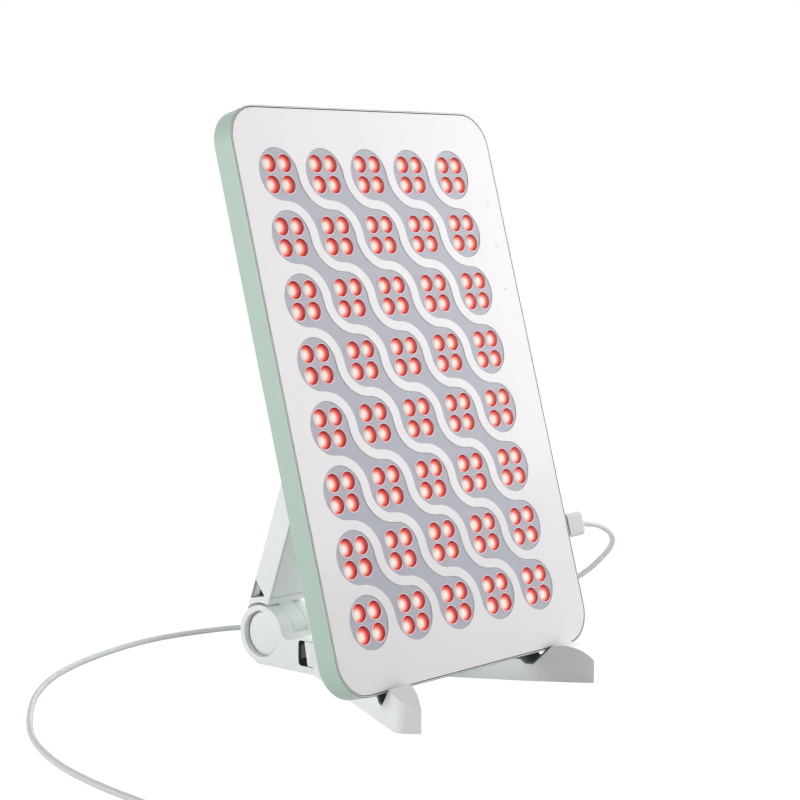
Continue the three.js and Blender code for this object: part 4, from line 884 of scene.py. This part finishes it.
bpy.ops.mesh.primitive_cube_add(size=1)
plug = bpy.context.object
plug.name = "plug_housing"
plug.scale = (PLUG_END - PLUG_START, PLUG_DEEP, PLUG_HIGH)
plug.location = ((PLUG_START + PLUG_END) / 2, -PANEL_DEPTH / 2, PLUG_Z)
settle(plug)
edit(plug, lambda e: abs(e.verts[0].co.x - e.verts[1].co.x) > 5 * MM)
bevel(PLUG_ROUND, 6)
done()
for end, radius, steps in ((PLUG_END, OUTER_RIM, 4), (PLUG_START, INNER_RIM, 2)):
    edit(plug, lambda e: all(abs(v.co.x - end) < HAIR for v in e.verts))
    bevel(radius, steps)
    done()
COLLAR_FROM, COLLAR_TO = PLUG_END - COLLAR_SINK, PLUG_END + COLLAR_LENGTH
collar = along_x("collar", COLLAR_RADIUS, COLLAR_FROM, COLLAR_TO, SMALL_SIDES)
round_edges(collar, COLLAR_RIM, 3)
plug = glue("plug_housing", [plug, collar])
shade(settle(plug, PANEL), 40)
wear(plug, cable)
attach(plug, "panel")
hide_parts("lead_plug")
print("plug faces", len(plug.data.polygons))

# %% [markdown]
# Three touch keys are printed beside the lenses in a pale ink: a power sign, a clock and a
# small sun. Each is a ring or a dot with a few short bars, a hair thicker than the face.

# %% Touch marks
MARK_X, MARK_PLACES = 89.875 * MM, (98.7 * MM, 73.9 * MM, 49.5 * MM)
INK_FRONT, INK_BACK = -PANEL_DEPTH - 0.03 * MM, -PANEL_DEPTH + 0.05 * MM
RING_RADIUS, RING_WIDTH, RING_SIDES = 1.25 * MM, 0.24 * MM, 28
POWER_BAR, POWER_BAR_WIDTH, POWER_BAR_AWAY = 1.2 * MM, 0.26 * MM, 0.5 * MM
LONG_HAND, SHORT_HAND, THIN_WIDTH = 0.85 * MM, 0.65 * MM, 0.22 * MM
SUN_RADIUS, RAY_LENGTH, RAY_AWAY, RAYS = 0.6 * MM, 0.5 * MM, 0.85 * MM, 8


def ring(radius, width, z):
    """A thin printed ring: a disc, inset, its middle removed and the rest given thickness."""
    bpy.ops.mesh.primitive_circle_add(
        vertices=RING_SIDES, radius=radius, fill_type="NGON", rotation=(math.pi / 2, 0, 0)
    )
    disc = bpy.context.object
    disc.location = (MARK_X, INK_BACK, z)
    settle(disc)
    edit(disc, everything, "FACE")
    if width < radius:
        bpy.ops.mesh.inset(thickness=width)
        bpy.ops.mesh.delete(type="FACE")
        bpy.ops.mesh.select_all(action="SELECT")
    extrude(INK_FRONT - INK_BACK)
    outwards()
    done()
    return disc


def bar(length, width, z, turn, away):
    """A printed bar that starts at a distance from the middle and points outwards."""
    middle = away + length / 2
    strip = rounded_slab("bar", width, length, INK_FRONT, INK_BACK, width * 0.45, 3, 0, middle)
    return settle(strip, Matrix.Translation((MARK_X, 0, z)) @ Matrix.Rotation(turn, 4, "Y"))


power, clock, sun = MARK_PLACES
marks = [
    ring(RING_RADIUS, RING_WIDTH, power),
    bar(POWER_BAR, POWER_BAR_WIDTH, power, 0, POWER_BAR_AWAY),
    ring(RING_RADIUS, RING_WIDTH, clock),
    bar(LONG_HAND, THIN_WIDTH, clock, 0, 0),
    bar(SHORT_HAND, THIN_WIDTH, clock, math.radians(90), 0),
    ring(SUN_RADIUS, SUN_RADIUS, sun),
]
for i in range(RAYS):
    marks.append(bar(RAY_LENGTH, THIN_WIDTH, sun, math.radians(360 / RAYS * i), RAY_AWAY))
touch_marks = wear(glue("touch_marks", marks), mark_ink)
settle(touch_marks, PANEL)
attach(touch_marks, "panel")
print("mark faces", len(touch_marks.data.polygons))

# %% [markdown]
# Two recesses of the stand are nearly black in their depth, from shade: the slot beside each leg's
# root, and the three-cornered grip in each side of the arm. Their inner faces get painted shade, a
# dark grey where the shadow falls.

# %% Painted shade in the recesses
def paint_shade_inside(piece, inside, material):
    """Gives the material to every face whose middle is inside the recess."""
    piece.data.materials.append(material)
    shaded = [face for face in piece.data.polygons if inside(face.center)]
    for face in shaded:
        face.material_index = len(piece.data.materials) - 1
    print(piece.name, "lined faces", len(shaded))


SLOT_SIDE, SLOT_LOW, SLOT_HIGH, SLOT_SETBACK = 15.2 * MM, 4.2 * MM, 18.7 * MM, 29 * MM
GRIP_X, GRIP_Y, GRIP_Z = (7.9 * MM, 8.1 * MM), (4.5 * MM, 15 * MM), (15 * MM, 28 * MM)


def in_slot(spot):
    """Chooses what lies in front of the barrel, inside the block's sides, floor and roof."""
    return (abs(spot.x) < SLOT_SIDE and SLOT_LOW < spot.z < SLOT_HIGH
            and spot.y < HINGE_Y - SLOT_SETBACK)


def in_grip(spot):
    """Chooses the floor of each grip, in the arm's own directions."""
    low = ARM.inverted() @ spot
    return (GRIP_X[0] < abs(low.x) < GRIP_X[1] and GRIP_Y[0] < low.y < GRIP_Y[1]
            and GRIP_Z[0] < low.z < GRIP_Z[1])


paint_shade_inside(hinge_block, in_slot, painted_shade)
paint_shade_inside(arm_housing, in_grip, painted_shade)

# %% [markdown]
# The pieces that hide inside, and the few small metal ones that show, keep the model's shape
# and only get their finish.

# %% Finishes of the pieces that stay as modelled
for node, material in {
    "hinge_axle": steel, "friction_washer_left": steel, "friction_washer_right": steel,
    "leg_pin_left": steel, "leg_pin_right": steel, "heat_spreader": alloy,
    "led_board": circuit, "driver_board": circuit, "dc_socket": black,
    "lead_plug_tip": brass, "adapter_blade_left": brass, "adapter_blade_right": brass,
    "touch_sensor_1": brass, "touch_sensor_2": brass, "touch_sensor_3": brass,
    "rear_screw_1": steel, "rear_screw_2": steel, "rear_screw_3": steel, "rear_screw_4": steel,
}.items():
    wear(nodes[node], material)

# %% [markdown]
# The lead hangs between the panel and the floor, every stretch of it further on along one
# direction than the one before, with its coil on the floor. It gets its finish, takes the place
# of the model's lead, coil and tail, and keeps its place in its mesh.

wear(lead, cable)
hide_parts("cord_lead", "cord_coil", "cord_tail")
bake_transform(lead)

# %% [markdown]
# The set is a plain white sweep. The floor and the world show themselves plain white, while
# they light the lamp much less than that, so that its own shapes stay readable.

# %% Floor and world
FLOOR_SIZE, FLOOR_GREY, FLOOR_GLOW, FLOOR_SHARE = 12, 0.8, 1.22, 0.8
AMBIENT, BACKDROP = 0.19, 1.0
WHITE = (1, 1, 1, 1)


def seen_directly(tree):
    """A mask of the rays that see the set itself: from the camera, in a gloss or through glass."""
    rays = tree.nodes.new("ShaderNodeLightPath")
    seen = rays.outputs["Is Camera Ray"]
    for label in ("Is Glossy Ray", "Is Transmission Ray"):
        either = tree.nodes.new("ShaderNodeMath")
        either.operation = "MAXIMUM"
        tree.links.new(seen, either.inputs[0])
        tree.links.new(rays.outputs[label], either.inputs[1])
        seen = either.outputs[0]
    return seen


bpy.ops.mesh.primitive_plane_add(size=FLOOR_SIZE)
floor = bpy.context.object
floor.name = "studio_floor"
sweep_material = bpy.data.materials.new("studio_white")
sweep_material.use_nodes = True
tree = sweep_material.node_tree
tree.nodes.clear()
matt = tree.nodes.new("ShaderNodeBsdfDiffuse")
matt.inputs["Color"].default_value = (FLOOR_GREY, FLOOR_GREY, FLOOR_GREY, 1)
plain = tree.nodes.new("ShaderNodeEmission")
plain.inputs["Strength"].default_value = FLOOR_GLOW
share = tree.nodes.new("ShaderNodeMath")
share.operation = "MULTIPLY"
share.inputs[1].default_value = FLOOR_SHARE
mixed = tree.nodes.new("ShaderNodeMixShader")
surface = tree.nodes.new("ShaderNodeOutputMaterial")
tree.links.new(seen_directly(tree), share.inputs[0])
tree.links.new(share.outputs[0], mixed.inputs[0])
tree.links.new(matt.outputs[0], mixed.inputs[1])
tree.links.new(plain.outputs[0], mixed.inputs[2])
tree.links.new(mixed.outputs[0], surface.inputs["Surface"])
floor.data.materials.append(sweep_material)

world = bpy.data.worlds.new("studio")
bpy.context.scene.world = world
world.use_nodes = True
tree = world.node_tree
tree.nodes.clear()
ambient = tree.nodes.new("ShaderNodeBackground")
ambient.inputs["Color"].default_value = WHITE
ambient.inputs["Strength"].default_value = AMBIENT
backdrop = tree.nodes.new("ShaderNodeBackground")
backdrop.inputs["Color"].default_value = WHITE
backdrop.inputs["Strength"].default_value = BACKDROP
mixed = tree.nodes.new("ShaderNodeMixShader")
surface = tree.nodes.new("ShaderNodeOutputWorld")
tree.links.new(seen_directly(tree), mixed.inputs[0])
tree.links.new(ambient.outputs[0], mixed.inputs[1])
tree.links.new(backdrop.outputs[0], mixed.inputs[2])
tree.links.new(mixed.outputs[0], surface.inputs["Surface"])

# %% [markdown]
# Five soft boxes light the lamp. The main one stands to the right of the lit face, a lower one
# beside it fills the hinge and the arm below the panel, and a small one in front puts the
# bright spot on each lens. The fourth comes in low from behind on the left, along the shell's
# side. The last stands behind on the right and reaches what the panel shades from the others.
# Each is set by its direction, its distance, and how bright it makes a white card turned to it.

# %% Lights
TARGET = Vector((0, 0, 0.15))


def soft_box(name, bearing, rise, distance, size, level):
    """A square light that looks at the lamp from a bearing and a rise in degrees."""
    bearing, rise = math.radians(bearing), math.radians(rise)
    flat = math.cos(rise)
    way = Vector((flat * math.cos(bearing), flat * math.sin(bearing), math.sin(rise)))
    bpy.ops.object.light_add(type="AREA", location=TARGET + way * distance)
    light = bpy.context.object
    light.name = name
    light.data.shape = "SQUARE"
    light.data.size = size
    light.data.energy = level * (math.pi * distance) ** 2
    light.rotation_mode = "QUATERNION"
    light.rotation_quaternion = (-way).to_track_quat("-Z", "Y")


soft_box("face_box", -38, 27, 1.7, 1.1, 0.34)
soft_box("fill_box", -6, 10, 1.4, 0.9, 0.56)
soft_box("lens_box", -76, 15, 1.3, 0.55, 0.22)
soft_box("side_box", 158, 8, 1.6, 0.8, 0.62)
soft_box("back_box", 35, 25, 1.5, 0.9, 0.55)
